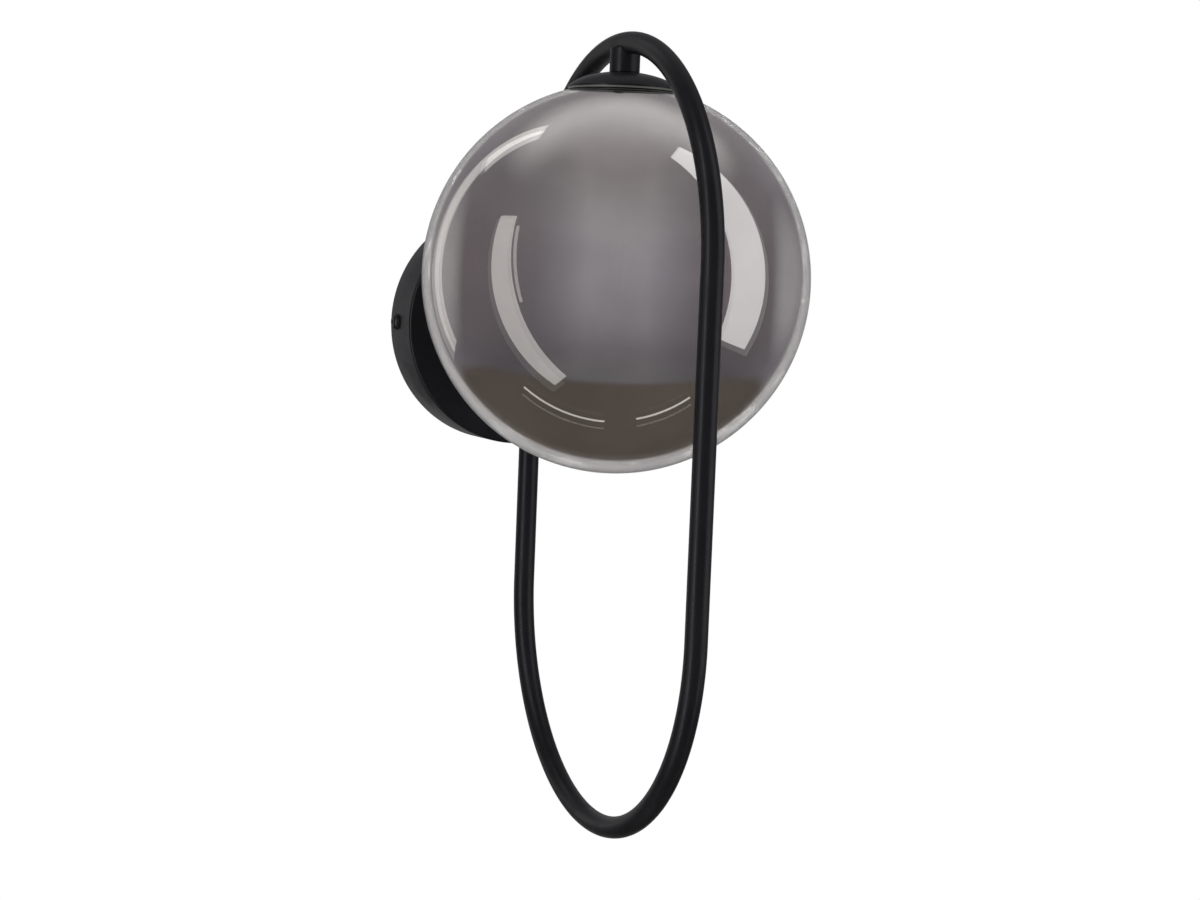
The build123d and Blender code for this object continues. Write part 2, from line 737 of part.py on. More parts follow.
def holder_lugs():
    """Two brass lugs on top of the core, each with a hole for its wire and one for a screw."""
    lug = Box(lug_size, lug_size, lug_height, align=UPRIGHT)
    lug = fillet(lug.edges().filter_by(Axis.Z), lug_corner_r)
    lug -= Pos(0, 0, lug_height) * Cylinder(wire_d / 2, lug_wire_depth, align=HANGING)
    screw_hole = Rot(90, 0, 0) * Cylinder(lug_screw_d / 2, lug_size, align=UPRIGHT)
    lug -= Pos(0, 0, lug_height - lug_wire_depth / 2) * screw_hole
    lug -= Cylinder(rivet_d / 2, rivet_reach, align=UPRIGHT)
    return [LAMP_AXIS * Pos(side * lug_offset, 0, core_top_z) * lug for side in (-1, 1)]


def holder_lug_screws():
    """Small screws that clamp the wires in the lugs."""
    fixing = screw(lug_screw_d, (lug_size - wire_d) / 2, lug_screw_head_d, lug_screw_head_height)
    height = core_top_z + lug_height - lug_wire_depth / 2
    places = [LAMP_AXIS * Pos(side * lug_offset, -lug_size / 2, height) for side in (-1, 1)]
    return [place * OUT_OF_WALL * fixing for place in places]


def holder_rivets():
    """Rivets through the core: one joins the contact to its lug, the other the screw shell."""
    length = rivet_reach + core_height
    rivets = []
    for side, plate in ((-1, contact_thickness), (1, shell_thickness)):
        rivet = Cylinder(rivet_head_d / 2, rivet_head_height, align=HANGING)
        rivet = fillet(rivet.edges().group_by(Axis.Z)[0], rivet_head_height * head_round_share)
        rivet += Cylinder(rivet_d / 2, length + plate, align=UPRIGHT)
        rivets.append(LAMP_AXIS * Pos(side * lug_offset, 0, core_bottom_z - plate) * rivet)
    return rivets


def holder_screw_shell():
    """Thin metal shell that the lamp screws into, with a rolled lip and a tab for its rivet."""
    bore_r = shell_bore_d / 2
    outer_r = bore_r + shell_thickness
    low = core_bottom_z - shell_length
    outline = [
        (bore_r, core_bottom_z),
        (outer_r, core_bottom_z),
        (outer_r, low + shell_lip),
        (outer_r + shell_lip, low),
        (outer_r + shell_lip - shell_thickness, low),
        (bore_r, low + shell_lip),
    ]
    tab_in = lug_offset - rivet_head_d / 2
    tab = Box(bore_r + shell_thickness / 2 - tab_in, rivet_head_d, shell_thickness)
    tab_x = (bore_r + shell_thickness / 2 + tab_in) / 2
    tab = Pos(tab_x, 0, core_bottom_z - shell_thickness / 2) * tab
    hole = Pos(lug_offset, 0, core_bottom_z) * Cylinder(rivet_d / 2, 4 * shell_thickness)
    return LAMP_AXIS * (turned(outline) + tab - hole)


def holder_centre_contact():
    """Springy strip riveted under the core that reaches down to the lamp's tip."""
    tip_z = core_bottom_z - contact_reach
    pad_end = -lug_offset + rivet_head_d / 2
    tip_start = -lamp_tip_d / 4
    outline = [
        (-lug_offset - rivet_head_d / 2, core_bottom_z),
        (-lug_offset - rivet_head_d / 2, core_bottom_z - contact_thickness),
        (pad_end, core_bottom_z - contact_thickness),
        (tip_start, tip_z),
        (lamp_tip_d / 2, tip_z),
        (lamp_tip_d / 2 + contact_curl_out, tip_z + contact_curl_up),
        (lamp_tip_d / 2, tip_z + contact_thickness),
        (tip_start + contact_thickness / 2, tip_z + contact_thickness),
        (pad_end + contact_thickness, core_bottom_z),
    ]
    face = make_face(Plane.XZ * Polyline(*outline, close=True))
    strip = extrude(face, contact_width / 2, both=True)
    hole = Pos(-lug_offset, 0, core_bottom_z) * Cylinder(rivet_d / 2, 4 * contact_thickness)
    return LAMP_AXIS * (strip - hole)


# Lamp


def lamp_profile(shrink):
    """Closed (radius, height) outline of the lamp's bulb, drawn in by shrink on every side."""
    ball_r = lamp_ball_d / 2
    neck_r = lamp_neck_d / 2
    reach = ball_r + lamp_shoulder_r
    shoulder_x = neck_r + lamp_shoulder_r
    rise = math.sqrt(reach**2 - shoulder_x**2)
    inset_ball = ball_r - shrink
    inset_shoulder = lamp_shoulder_r + shrink
    join = (inset_ball * shoulder_x / reach, lamp_ball_z + inset_ball * rise / reach)
    equator = (inset_ball, lamp_ball_z)
    pole = (0, lamp_ball_z - inset_ball)
    neck_foot = (neck_r - shrink, lamp_ball_z + rise)
    top_z = lamp_tip_z - lamp_cap_length
    swing = math.atan2(rise, shoulder_x) / 2
    waist = (
        shoulder_x - inset_shoulder * math.cos(swing),
        lamp_ball_z + rise - inset_shoulder * math.sin(swing),
    )
    lower = math.sqrt(0.5) * inset_ball
    upper = math.atan2(rise, shoulder_x) / 2
    over = (inset_ball * math.cos(upper), lamp_ball_z + inset_ball * math.sin(upper))
    return [
        ThreePointArc(pole, (lower, lamp_ball_z - lower), equator),
        ThreePointArc(equator, over, join),
        ThreePointArc(join, waist, neck_foot),
        Line(neck_foot, (neck_foot[0], top_z)),
        Line((neck_foot[0], top_z), (0, top_z)),
        Line((0, top_z), pole),
    ]


def lamp_bulb():
    """Thin glass bulb, open at the neck where its metal cap closes it."""
    return LAMP_AXIS * (turned_from(lamp_profile(0)) - turned_from(lamp_profile(lamp_glass)))


def lamp_cap():
    """Metal screw cap of the lamp."""
    thread_r = lamp_thread_d / 2
    top = lamp_tip_z - lamp_tip_height - lamp_insulator_height
    foot = lamp_tip_z - lamp_cap_length
    outline = [
        (0, top),
        (thread_r - lamp_cap_chamfer, top),
        (thread_r, top - lamp_cap_chamfer),
        (thread_r, foot + lamp_cap_rim + lamp_cap_flare),
        (lamp_neck_d / 2, foot + lamp_cap_rim),
        (lamp_neck_d / 2, foot),
        (0, foot),
    ]
    return LAMP_AXIS * turned(outline)


def lamp_insulator():
    """Dark glass ring between the lamp's cap and its tip."""
    top = lamp_tip_z - lamp_tip_height
    foot = top - lamp_insulator_height
    foot_r = lamp_thread_d / 2 - lamp_cap_chamfer
    return LAMP_AXIS * turned([(0, foot), (foot_r, foot), (lamp_tip_d / 2, top), (0, top)])


def lamp_tip():
    """Round centre contact of the lamp."""
    tip = Cylinder(lamp_tip_d / 2, lamp_tip_height, align=UPRIGHT)
    tip = fillet(tip.edges().group_by(Axis.Z)[-1], lamp_tip_height * lamp_tip_round_share)
    return LAMP_AXIS * Pos(0, 0, lamp_tip_z - lamp_tip_height) * tip


def lamp_stem():
    """Glass stem inside the bulb that carries the filaments."""
    top = lamp_tip_z - lamp_cap_length
    foot = lamp_ball_z - filament_length / 2 + filament_stem_rise
    stem = Pos(0, 0, foot) * Cylinder(filament_stem_d / 2, top - foot, align=UPRIGHT)
    stem = fillet(stem.edges().group_by(Axis.Z)[0], filament_stem_d * filament_round_share)
    flare_r = lamp_neck_d / 2 - lamp_glass - stem_flare_gap
    flare = Cone(filament_stem_d / 2, flare_r, stem_flare_height, align=HANGING)
    return LAMP_AXIS * (stem + Pos(0, 0, top) * flare)


def lamp_filaments():
    """Straight light-emitting filaments that stand round the stem."""
    rod = Cylinder(filament_d / 2, filament_length)
    rod = fillet(rod.edges().filter_by(GeomType.CIRCLE), filament_d * filament_round_share)
    ring = PolarLocations(filament_circle_d / 2, filament_count)
    return [LAMP_AXIS * Pos(0, 0, lamp_ball_z) * place * rod for place in ring]


# Side screws


def canopy_screw(side):
    """Domed screw through the canopy's side into the bracket's ear; side is -1 left, 1 right."""
    shank_d = side_screw_d - 2 * side_screw_gap
    fixing = screw(shank_d, side_screw_length, side_screw_head_d, side_screw_head_height)
    return Pos(side * canopy_d / 2, -side_screw_from_wall, 0) * Rot(0, side * 90, 0) * fixing


def write(name, shape):
    """One STEP file for a sub-part; a list of shapes becomes a group of separate solids."""
    solids = shape if isinstance(shape, list) else [shape]
    group = solids[0] if len(solids) == 1 else Compound(children=[Compound(s.solids()) for s in solids])
    export_step(group, os.path.join("parts", name + ".step"))


os.makedirs("parts", exist_ok=True)

write("wall_bracket", wall_bracket())
write("terminal_block", terminal_block())
write("terminal_clamps", terminal_clamps())
write("terminal_clamp_screws", terminal_clamp_screws())
write("terminal_block_screws", terminal_block_screws())
write("earth_screw", earth_screw())
write("earth_ring_terminals", earth_ring_terminals())
write("earth_wire", earth_wire())
write("canopy", canopy())
write("canopy_nipple", canopy_nipple())
write("canopy_nut", canopy_nut())
write("canopy_lock_washer", canopy_lock_washer())
write("nipple_bushings", nipple_bushings())
write("standoff_sleeve", standoff_sleeve())
write("loop_tube", loop_tube())
write("stem_sleeve", stem_sleeve())
write("stem_nipple", LAMP_AXIS * nipple(holder_top_z - holder_roof, tube_underside_z - nipple_end_gap))
write("live_wire", swept(wire_path(-1), wire_d))
write("neutral_wire", swept(wire_path(1), wire_d))
write("dome_cap", dome_cap())
write("cap_gasket", cap_gasket())
write("holder_cover", holder_cover())
write("holder_skirt", holder_skirt())
write("holder_core", holder_core())
write("holder_lugs", holder_lugs())
write("holder_lug_screws", holder_lug_screws())
write("holder_rivets", holder_rivets())
write("holder_screw_shell", holder_screw_shell())
write("holder_centre_contact", holder_centre_contact())
write("glass_globe", glass_globe())
write("glass_washer", glass_washer())
write("shade_ring", shade_ring())
write("lamp_bulb", lamp_bulb())
write("lamp_cap", lamp_cap())
write("lamp_insulator", lamp_insulator())
write("lamp_tip", lamp_tip())
write("lamp_stem", lamp_stem())
write("lamp_filaments", lamp_filaments())
write("canopy_screw_left", canopy_screw(-1))
write("canopy_screw_right", canopy_screw(1))
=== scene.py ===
"""Globe wall sconce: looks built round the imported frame. Metres, +Z up, -Y out of the wall."""

import math

import bmesh
import bpy
from mathutils import Matrix, Vector


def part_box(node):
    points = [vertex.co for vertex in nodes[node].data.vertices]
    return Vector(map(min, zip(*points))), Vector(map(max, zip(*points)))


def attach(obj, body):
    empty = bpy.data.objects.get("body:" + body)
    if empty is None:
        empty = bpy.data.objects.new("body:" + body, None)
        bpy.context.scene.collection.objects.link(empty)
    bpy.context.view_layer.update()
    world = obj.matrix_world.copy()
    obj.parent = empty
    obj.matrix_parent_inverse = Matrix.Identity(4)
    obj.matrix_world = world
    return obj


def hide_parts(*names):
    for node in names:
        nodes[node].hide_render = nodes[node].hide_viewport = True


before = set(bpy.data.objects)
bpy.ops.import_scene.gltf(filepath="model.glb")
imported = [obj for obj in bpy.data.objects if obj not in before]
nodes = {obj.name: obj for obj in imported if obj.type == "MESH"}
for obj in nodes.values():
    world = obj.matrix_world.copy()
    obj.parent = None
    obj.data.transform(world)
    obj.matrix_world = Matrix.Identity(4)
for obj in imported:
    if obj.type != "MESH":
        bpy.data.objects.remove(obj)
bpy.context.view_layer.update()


# Wall bracket
# A strap of 1.5 mm steel with its ears bent forward, blanked and bent, then zinc plated and
# passivated. The plating is silvery with faint warm and bluish clouds, and bright where rubbed.


def add(tree, kind, at, **values):
    """A shader node of a kind at a place in the editor, with the given inputs set."""
    node = tree.nodes.new(kind)
    node.location = at
    for name, value in values.items():
        node.inputs[name.replace("_", " ")].default_value = value
    return node


def effect(name, inputs, outputs):
    """An empty node group with inputs of (label, kind, first value) and float outputs."""
    tree = bpy.data.node_groups.new(name, "ShaderNodeTree")
    for label, kind, value in inputs:
        socket = tree.interface.new_socket(label, in_out="INPUT", socket_type=kind)
        socket.default_value = value
    for label in outputs:
        tree.interface.new_socket(label, in_out="OUTPUT", socket_type="NodeSocketFloat")
    entry = add(tree, "NodeGroupInput", (-900, 0))
    leave = add(tree, "NodeGroupOutput", (600, 0))
    return tree, entry, leave


def place_in_mm(tree):
    """The place on the piece, in millimetres."""
    place = add(tree, "ShaderNodeTexCoord", (-900, 300))
    in_mm = add(tree, "ShaderNodeVectorMath", (-700, 300))
    in_mm.operation = "SCALE"
    in_mm.inputs["Scale"].default_value = 1000
    tree.links.new(place.outputs["Object"], in_mm.inputs[0])
    return in_mm.outputs[0]


def blotches(tree, in_mm, size, **values):
    """Soft noise whose blotches are as large as a socket says, in millimetres."""
    link = tree.links.new
    per_mm = add(tree, "ShaderNodeMath", (-500, 0))
    per_mm.operation = "DIVIDE"
    per_mm.inputs[0].default_value = 1.0
    link(size, per_mm.inputs[1])
    noise = add(tree, "ShaderNodeTexNoise", (-300, 0), **values)
    link(in_mm, noise.inputs["Vector"])
    link(per_mm.outputs[0], noise.inputs["Scale"])
    return noise.outputs["Fac"]


def mask(tree, value, at, low, high):
    """Goes from 0 to 1 as a value goes from low to high."""
    spread = add(tree, "ShaderNodeMapRange", at, From_Min=low, From_Max=high)
    tree.links.new(value, spread.inputs["Value"])
    return spread.outputs["Result"]


def grain_effect():
    """Relief and clouding of a worked surface; Per mm is how often the grain repeats each way."""
    tree, entry, leave = effect(
        "surface grain",
        [("Per mm", "NodeSocketVector", (1, 1, 1)), ("Cloud size", "NodeSocketFloat", 12.0)],
        ["Relief", "Cloud"],
    )
    link = tree.links.new
    in_mm = place_in_mm(tree)
    stretched = add(tree, "ShaderNodeVectorMath", (-500, 300))
    stretched.operation = "MULTIPLY"
    link(in_mm, stretched.inputs[0])
    link(entry.outputs["Per mm"], stretched.inputs[1])
    fine = add(tree, "ShaderNodeTexNoise", (-300, 300), Scale=1.0, Detail=2.0, Roughness=0.45)
    link(stretched.outputs[0], fine.inputs["Vector"])
    link(fine.outputs["Fac"], leave.inputs["Relief"])
    cloud = blotches(tree, in_mm, entry.outputs["Cloud size"], Detail=3.0, Roughness=0.55)
    link(mask(tree, cloud, (0, 0), low=0.35, high=0.65), leave.inputs["Cloud"])
    return tree


def handling_effect():
    """Finger smudges and hairline scratches left by fitting and cleaning."""
    tree, entry, leave = effect(
        "handling marks", [("Smudge size", "NodeSocketFloat", 18.0)], ["Smudge", "Hairline"]
    )
    link = tree.links.new
    in_mm = place_in_mm(tree)
    blotch = blotches(tree, in_mm, entry.outputs["Smudge size"], Detail=4.0, Distortion=0.6)
    link(mask(tree, blotch, (0, 0), low=0.52, high=0.7), leave.inputs["Smudge"])
    slanted = add(tree, "ShaderNodeMapping", (-500, 300))
    slanted.inputs["Rotation"].default_value = (0.4, 0.3, 0.7)
    slanted.inputs["Scale"].default_value = (0.05, 1.1, 1.3)
    link(in_mm, slanted.inputs["Vector"])
    streak = add(tree, "ShaderNodeTexNoise", (-300, 300), Scale=1.0, Detail=1.0, Distortion=0.2)
    link(slanted.outputs["Vector"], streak.inputs["Vector"])
    hairline = mask(tree, streak.outputs["Fac"], (0, 300), low=0.72, high=0.78)
    link(hairline, leave.inputs["Hairline"])
    return tree


surface_grain = grain_effect()
handling_marks = handling_effect()


def clouded(name, colours, roughness, cloud_size, fixed):
    """A material whose colour clouds between two tones, with its effects and its gloss node.

    The gloss node goes between the two ends of roughness, and fixed holds the shader's constants.
    """
    material = bpy.data.materials.new(name)
    material.use_nodes = True
    tree = material.node_tree
    link = tree.links.new
    shader = tree.nodes["Principled BSDF"]
    for label, value in fixed.items():
        shader.inputs[label.replace("_", " ")].default_value = value
    grain = add(tree, "ShaderNodeGroup", (-900, 200))
    grain.node_tree = surface_grain
    grain.inputs["Cloud size"].default_value = cloud_size
    marks = add(tree, "ShaderNodeGroup", (-900, -100))
    marks.node_tree = handling_marks
    tone = add(tree, "ShaderNodeMix", (-500, 300))
    tone.name = "tone"
    tone.data_type = "RGBA"
    tone.inputs["A"].default_value = (*colours[0], 1)
    tone.inputs["B"].default_value = (*colours[1], 1)
    link(grain.outputs["Cloud"], tone.inputs["Factor"])
    link(tone.outputs["Result"], shader.inputs["Base Color"])
    gloss = add(tree, "ShaderNodeMapRange", (-500, -100), To_Min=roughness[0], To_Max=roughness[1])
    link(gloss.outputs["Result"], shader.inputs["Roughness"])
    return material, grain, marks, gloss


def surface(name, colours, roughness, per_mm, relief, cloud_size=12.0, **fixed):
    """A solid material with a grain in relief, duller where it has been handled.

    per_mm is how often the grain repeats along X, Y and Z, and relief its depth in metres.
    """
    material, grain, marks, gloss = clouded(name, colours, roughness, cloud_size, fixed)
    tree = material.node_tree
    link = tree.links.new
    grain.inputs["Per mm"].default_value = per_mm
    worn = add(tree, "ShaderNodeMath", (-700, -100))
    worn.operation = "MAXIMUM"
    link(marks.outputs["Smudge"], worn.inputs[0])
    link(marks.outputs["Hairline"], worn.inputs[1])
    link(worn.outputs[0], gloss.inputs["Value"])
    bump = add(tree, "ShaderNodeBump", (-300, -300), Strength=1.0, Distance=relief)
    link(grain.outputs["Relief"], bump.inputs["Height"])
    link(bump.outputs["Normal"], tree.nodes["Principled BSDF"].inputs["Normal"])
    return material


def dress(material, *names):
    """Gives CAD nodes a material in place of their plain one."""
    for name in names:
        for place in nodes[name].material_slots:
            place.link = "OBJECT"
            place.material = material


zinc = surface(
    "zinc_plating",
    colours=[(0.60, 0.58, 0.52), (0.56, 0.60, 0.66)],
    roughness=(0.26, 0.42),
    per_mm=(0.35, 3.0, 3.0),
    relief=0.000012,
    cloud_size=9.0,
    Metallic=1.0,
)
dress(zinc, "wall_bracket")


# Terminal block
# A three pole block moulded in white polyamide and held to the bracket's tab by two screws. Brass
# tubes in its channels clamp the wires under slotted steel grub screws.

polyamide = surface(
    "white_polyamide",
    colours=[(0.78, 0.78, 0.75), (0.84, 0.84, 0.82)],
    roughness=(0.42, 0.55),
    per_mm=(2.5, 2.5, 2.5),
    relief=0.000010,
    Subsurface_Weight=0.15,
    Subsurface_Scale=0.002,
)
brass = surface(
    "machined_brass",
    colours=[(0.72, 0.50, 0.20), (0.80, 0.60, 0.28)],
    roughness=(0.22, 0.40),
    per_mm=(0.6, 0.6, 6.0),
    relief=0.000006,
    cloud_size=4.0,
    Metallic=1.0,
)
dress(polyamide, "terminal_block")
dress(brass, "terminal_clamps")
dress(zinc, "terminal_clamp_screws", "terminal_block_screws")


# Earth connection
# A screw in the bracket's lug and the canopy's nut each hold a tinned copper ring terminal. The
# wire between them has green insulation with a yellow stripe along each side.

tinned = surface(
    "tinned_copper",
    colours=[(0.62, 0.61, 0.58), (0.70, 0.69, 0.66)],
    roughness=(0.30, 0.48),
    per_mm=(1.5, 1.5, 1.5),
    relief=0.000010,
    cloud_size=3.0,
    Metallic=1.0,
)
earth_green = surface(
    "earth_insulation",
    colours=[(0.03, 0.22, 0.05), (0.04, 0.27, 0.07)],
    roughness=(0.36, 0.50),
    per_mm=(1.2, 1.2, 1.2),
    relief=0.000008,
)


def striped(material, stripe, start, full):
    """Adds a stripe along a wire's upper and lower sides, by how far they face up or down."""
    tree = material.node_tree
    link = tree.links.new
    facing = add(tree, "ShaderNodeNewGeometry", (-900, 600))
    height = add(tree, "ShaderNodeSeparateXYZ", (-700, 600))
    link(facing.outputs["Normal"], height.inputs["Vector"])
    both_ways = add(tree, "ShaderNodeMath", (-500, 600))
    both_ways.operation = "ABSOLUTE"
    link(height.outputs["Z"], both_ways.inputs[0])
    edge = mask(tree, both_ways.outputs[0], (-300, 600), low=start, high=full)
    painted = add(tree, "ShaderNodeMix", (-100, 400))
    painted.data_type = "RGBA"
    painted.inputs["B"].default_value = (*stripe, 1)
    link(edge, painted.inputs["Factor"])
    link(tree.nodes["tone"].outputs["Result"], painted.inputs["A"])
    link(painted.outputs["Result"], tree.nodes["Principled BSDF"].inputs["Base Color"])


striped(earth_green, stripe=(0.80, 0.62, 0.04), start=0.62, full=0.68)
dress(zinc, "earth_screw")
dress(tinned, "earth_ring_terminals")
dress(earth_green, "earth_wire")


# Canopy
# A cup drawn from 1.2 mm steel sheet, with a tight rounded edge at its face, a hole for the nipple
# and one at each side for a screw. It is powder coated satin black, with a fine orange peel.

canopy_radius = 0.060
canopy_depth = 0.030
canopy_wall = 0.0012
canopy_edge = 0.0016
canopy_rim_round = 0.0003
nipple_hole = 0.00505
side_hole = 0.0023
side_hole_from_wall = 0.010
weld = 0.0000005


def pen(bm, radius, height):
    """Starts an outline at a distance from the Z axis and a height."""
    return bm.verts.new((radius, 0, height))


def line_to(bm, tip, radius, height):
    """Draws a straight line on from the outline's tip."""
    tip = bmesh.ops.extrude_vert_indiv(bm, verts=[tip])["verts"][0]
    tip.co = (radius, 0, height)
    return tip


def arc_to(bm, tip, centre, degrees, steps):
    """Draws an arc on from the tip round a centre; a positive turn goes from +X towards +Z."""
    drawn = bmesh.ops.spin(
        bm,
        geom=[tip],
        cent=(centre[0], 0, centre[1]),
        axis=(0, -1, 0),
        angle=math.radians(degrees),
        steps=steps,
    )
    return next(item for item in drawn["geom_last"] if isinstance(item, bmesh.types.BMVert))


def turn(bm, steps):
    """Turns the outline once round Z into a closed skin."""
    bmesh.ops.spin(
        bm,
        geom=bm.verts[:] + bm.edges[:],
        cent=(0, 0, 0),
        axis=(0, 0, 1),
        angle=math.tau,
        steps=steps,
        use_merge=True,
    )
    bmesh.ops.remove_doubles(bm, verts=bm.verts[:], dist=weld)
    bmesh.ops.recalc_face_normals(bm, faces=bm.faces[:])


def shade(bm, sharp_degrees):
    """Smooth shading with a crisp line wherever two faces meet at more than an angle."""
    for face in bm.faces:
        face.smooth = True
    for edge in bm.edges:
        edge.smooth = edge.calc_face_angle(0) < math.radians(sharp_degrees)


def made(name, bm, place=Matrix.Identity(4), sharp_degrees=30):
    """Turns a bmesh into an object at the origin, with its place in its mesh."""
    bmesh.ops.transform(bm, matrix=place, verts=bm.verts[:])
    shade(bm, sharp_degrees)
    mesh = bpy.data.meshes.new(name)
    bm.to_mesh(mesh)
    bm.free()
    piece = bpy.data.objects.new(name, mesh)
    bpy.context.scene.collection.objects.link(piece)
    return piece


def cut(piece, *cutters, sharp_degrees=30):
    """Takes the cutters' volumes out of a piece."""
    for cutter in cutters:
        knife = piece.modifiers.new(cutter.name, "BOOLEAN")
        knife.operation = "DIFFERENCE"
        knife.solver = "EXACT"
        knife.object = cutter
    seen = piece.evaluated_get(bpy.context.evaluated_depsgraph_get())
    bm = bmesh.new()
    bm.from_mesh(seen.to_mesh())
    piece.modifiers.clear()
    bmesh.ops.remove_doubles(bm, verts=bm.verts[:], dist=weld)
    shade(bm, sharp_degrees)
    bm.to_mesh(piece.data)
    bm.free()


def discard(*helpers):
    """Removes objects that only shaped others."""
    for helper in helpers:
        bpy.data.objects.remove(helper)


def fit(piece, body, slot, material, *stands_for):
    """Hangs a finished piece on its body, with its material, in place of its CAD nodes."""
    piece.data.materials.clear()
    piece.data.materials.append(material)
    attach(piece, body)
    if stands_for:
        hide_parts(*stands_for)


def drill(name, radius, length, place):
    """A round cutter along its own Z, centred on its place."""
    bm = bmesh.new()
    bmesh.ops.create_cone(
        bm, cap_ends=True, segments=48, radius1=radius, radius2=radius, depth=length, matrix=place
    )
    return made(name, bm)


powder_coat = surface(
    "black_powder_coat",
    colours=[(0.0060, 0.0060, 0.0070), (0.0085, 0.0085, 0.0096)],
    roughness=(0.34, 0.44),
    per_mm=(0.9, 0.9, 0.9),
    relief=0.000018,
    cloud_size=25.0,
    Specular_IOR_Level=0.30,
    Specular_Tint=(0.90, 0.90, 1.0, 1),
)

out_of_wall = Matrix.Rotation(math.radians(90), 4, "X")
bm = bmesh.new()
face_inside = canopy_depth - canopy_wall
bore_inside = canopy_radius - canopy_wall
inner_edge = canopy_edge - canopy_wall
tip = pen(bm, canopy_radius, canopy_rim_round)
tip = line_to(bm, tip, canopy_radius, canopy_depth - canopy_edge)
tip = arc_to(bm, tip, (canopy_radius - canopy_edge, canopy_depth - canopy_edge), 90, 8)
tip = line_to(bm, tip, nipple_hole, canopy_depth)
tip = line_to(bm, tip, nipple_hole, face_inside)
tip = line_to(bm, tip, bore_inside - inner_edge, face_inside)
tip = arc_to(bm, tip, (bore_inside - inner_edge, canopy_depth - canopy_edge), -90, 4)
tip = line_to(bm, tip, bore_inside, canopy_rim_round)
tip = arc_to(bm, tip, (bore_inside + canopy_rim_round, canopy_rim_round), 90, 4)
tip = line_to(bm, tip, canopy_radius - canopy_rim_round, 0)
tip = arc_to(bm, tip, (canopy_radius - canopy_rim_round, canopy_rim_round), 90, 4)
turn(bm, 160)
canopy_shell = made("canopy_shell", bm, out_of_wall)
across = Matrix.Translation((0, -side_hole_from_wall, 0)) @ Matrix.Rotation(math.radians(90), 4, "Y")
side_drill = drill("side_drill", side_hole, 3 * canopy_radius, across)
cut(canopy_shell, side_drill)
discard(side_drill)
fit(canopy_shell, "sconce", "black_powder_coat", powder_coat, "canopy")


# Canopy nipple, nut, lock washer and bushings
# A hollow M10 x 1 nipple, rolled from plated steel tube, is screwed into the standoff sleeve and
# pulled tight inside the canopy by a thin hexagon nut on a toothed washer. White plastic bushings
# keep the wires off the sharp ends of both nipples.

nipple_crest = 0.0050
nipple_root = 0.0044
nipple_pitch = 0.0010
nipple_bore = 0.0033
nipple_end_bevel = 0.0005


def thread(bm, outline, pitch, low, high, steps=40):
    """A thread's skin about Z between two heights, from one turn's outline of (radius, share)."""
    tip = pen(bm, outline[0][0], low - pitch)
    for radius, share in outline[1:]:
        tip = line_to(bm, tip, radius, low - pitch + share * pitch)
    turns = math.ceil((high - low) / pitch) + 2
    bmesh.ops.spin(
        bm,
        geom=bm.verts[:] + bm.edges[:],
        cent=(0, 0, 0),
        axis=(0, 0, 1),
        dvec=(0, 0, pitch / steps),
        angle=math.tau * turns,
        steps=steps * turns,
    )
    bmesh.ops.remove_doubles(bm, verts=bm.verts[:], dist=pitch / 500)
    for height, way in ((low, -1), (high, 1)):
        bmesh.ops.bisect_plane(
            bm,
            geom=bm.verts[:] + bm.edges[:] + bm.faces[:],
            dist=pitch / 1000,
            plane_co=(0, 0, height),
            plane_no=(0, 0, way),
            clear_outer=True,
        )
    bmesh.ops.remove_doubles(bm, verts=bm.verts[:], dist=pitch / 500)


def open_ring(bm, height):
    """The open edges of a skin at a height."""
    near = 0.00001
    return [
        edge
        for edge in bm.edges
        if edge.is_boundary and all(abs(vert.co.z - height) < near for vert in edge.verts)
    ]


def ring_on(bm, ring, radius, height):
    """Carries an open ring on to another radius and height."""
    grown = bmesh.ops.extrude_edge_only(bm, edges=ring)["geom"]
    for vert in (item for item in grown if isinstance(item, bmesh.types.BMVert)):
        flat = Vector((vert.co.x, vert.co.y, 0)).normalized() * radius
        vert.co = (flat.x, flat.y, height)
    return [item for item in grown if isinstance(item, bmesh.types.BMEdge) and item.is_boundary]


def nipple(name, low, high, place):
    """A hollow threaded rod between two heights, bevelled at both ends."""
    bm = bmesh.new()
    ridge = [
        (nipple_root, 0),
        (nipple_crest, 0.4),
        (nipple_crest, 0.55),
        (nipple_root, 0.95),
        (nipple_root, 1),
    ]
    thread(bm, ridge, nipple_pitch, low + nipple_end_bevel, high - nipple_end_bevel)
    inner_rings = []
    for inside, end in ((low + nipple_end_bevel, low), (high - nipple_end_bevel, high)):
        ring = ring_on(bm, open_ring(bm, inside), nipple_root, end)
        inner_rings += ring_on(bm, ring, nipple_bore, end)
    bmesh.ops.bridge_loops(bm, edges=inner_rings)
    bmesh.ops.recalc_face_normals(bm, faces=bm.faces[:])
    return made(name, bm, place)


low_corner, high_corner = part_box("canopy_nipple")
threaded_nipple = nipple("canopy_nipple_threaded", -high_corner.y, -low_corner.y, out_of_wall)
fit(threaded_nipple, "sconce", "zinc_plated_steel", zinc, "canopy_nipple")
dress(zinc, "canopy_nut", "canopy_lock_washer")
dress(polyamide, "nipple_bushings")


# Loop
# One length of 10 mm steel tube, bent to an oblong of two straight legs and two half rounds, with
# its butt weld ground flush, and powder coated with the canopy and the sleeves. The globe mirrors
# the room but not the loop, so neither its skin nor the wires in it send an image to the glass.

tube_radius = 0.0051
straight = 0.160
loop_low, loop_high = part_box("loop_tube")
lamp_y = (loop_low.y + loop_high.y) / 2
rear_leg_y = loop_high.y - tube_radius
loop_centre_z = (loop_low.z + loop_high.z) / 2
top_bend_z = loop_centre_z + straight / 2
bottom_bend_z = loop_centre_z - straight / 2


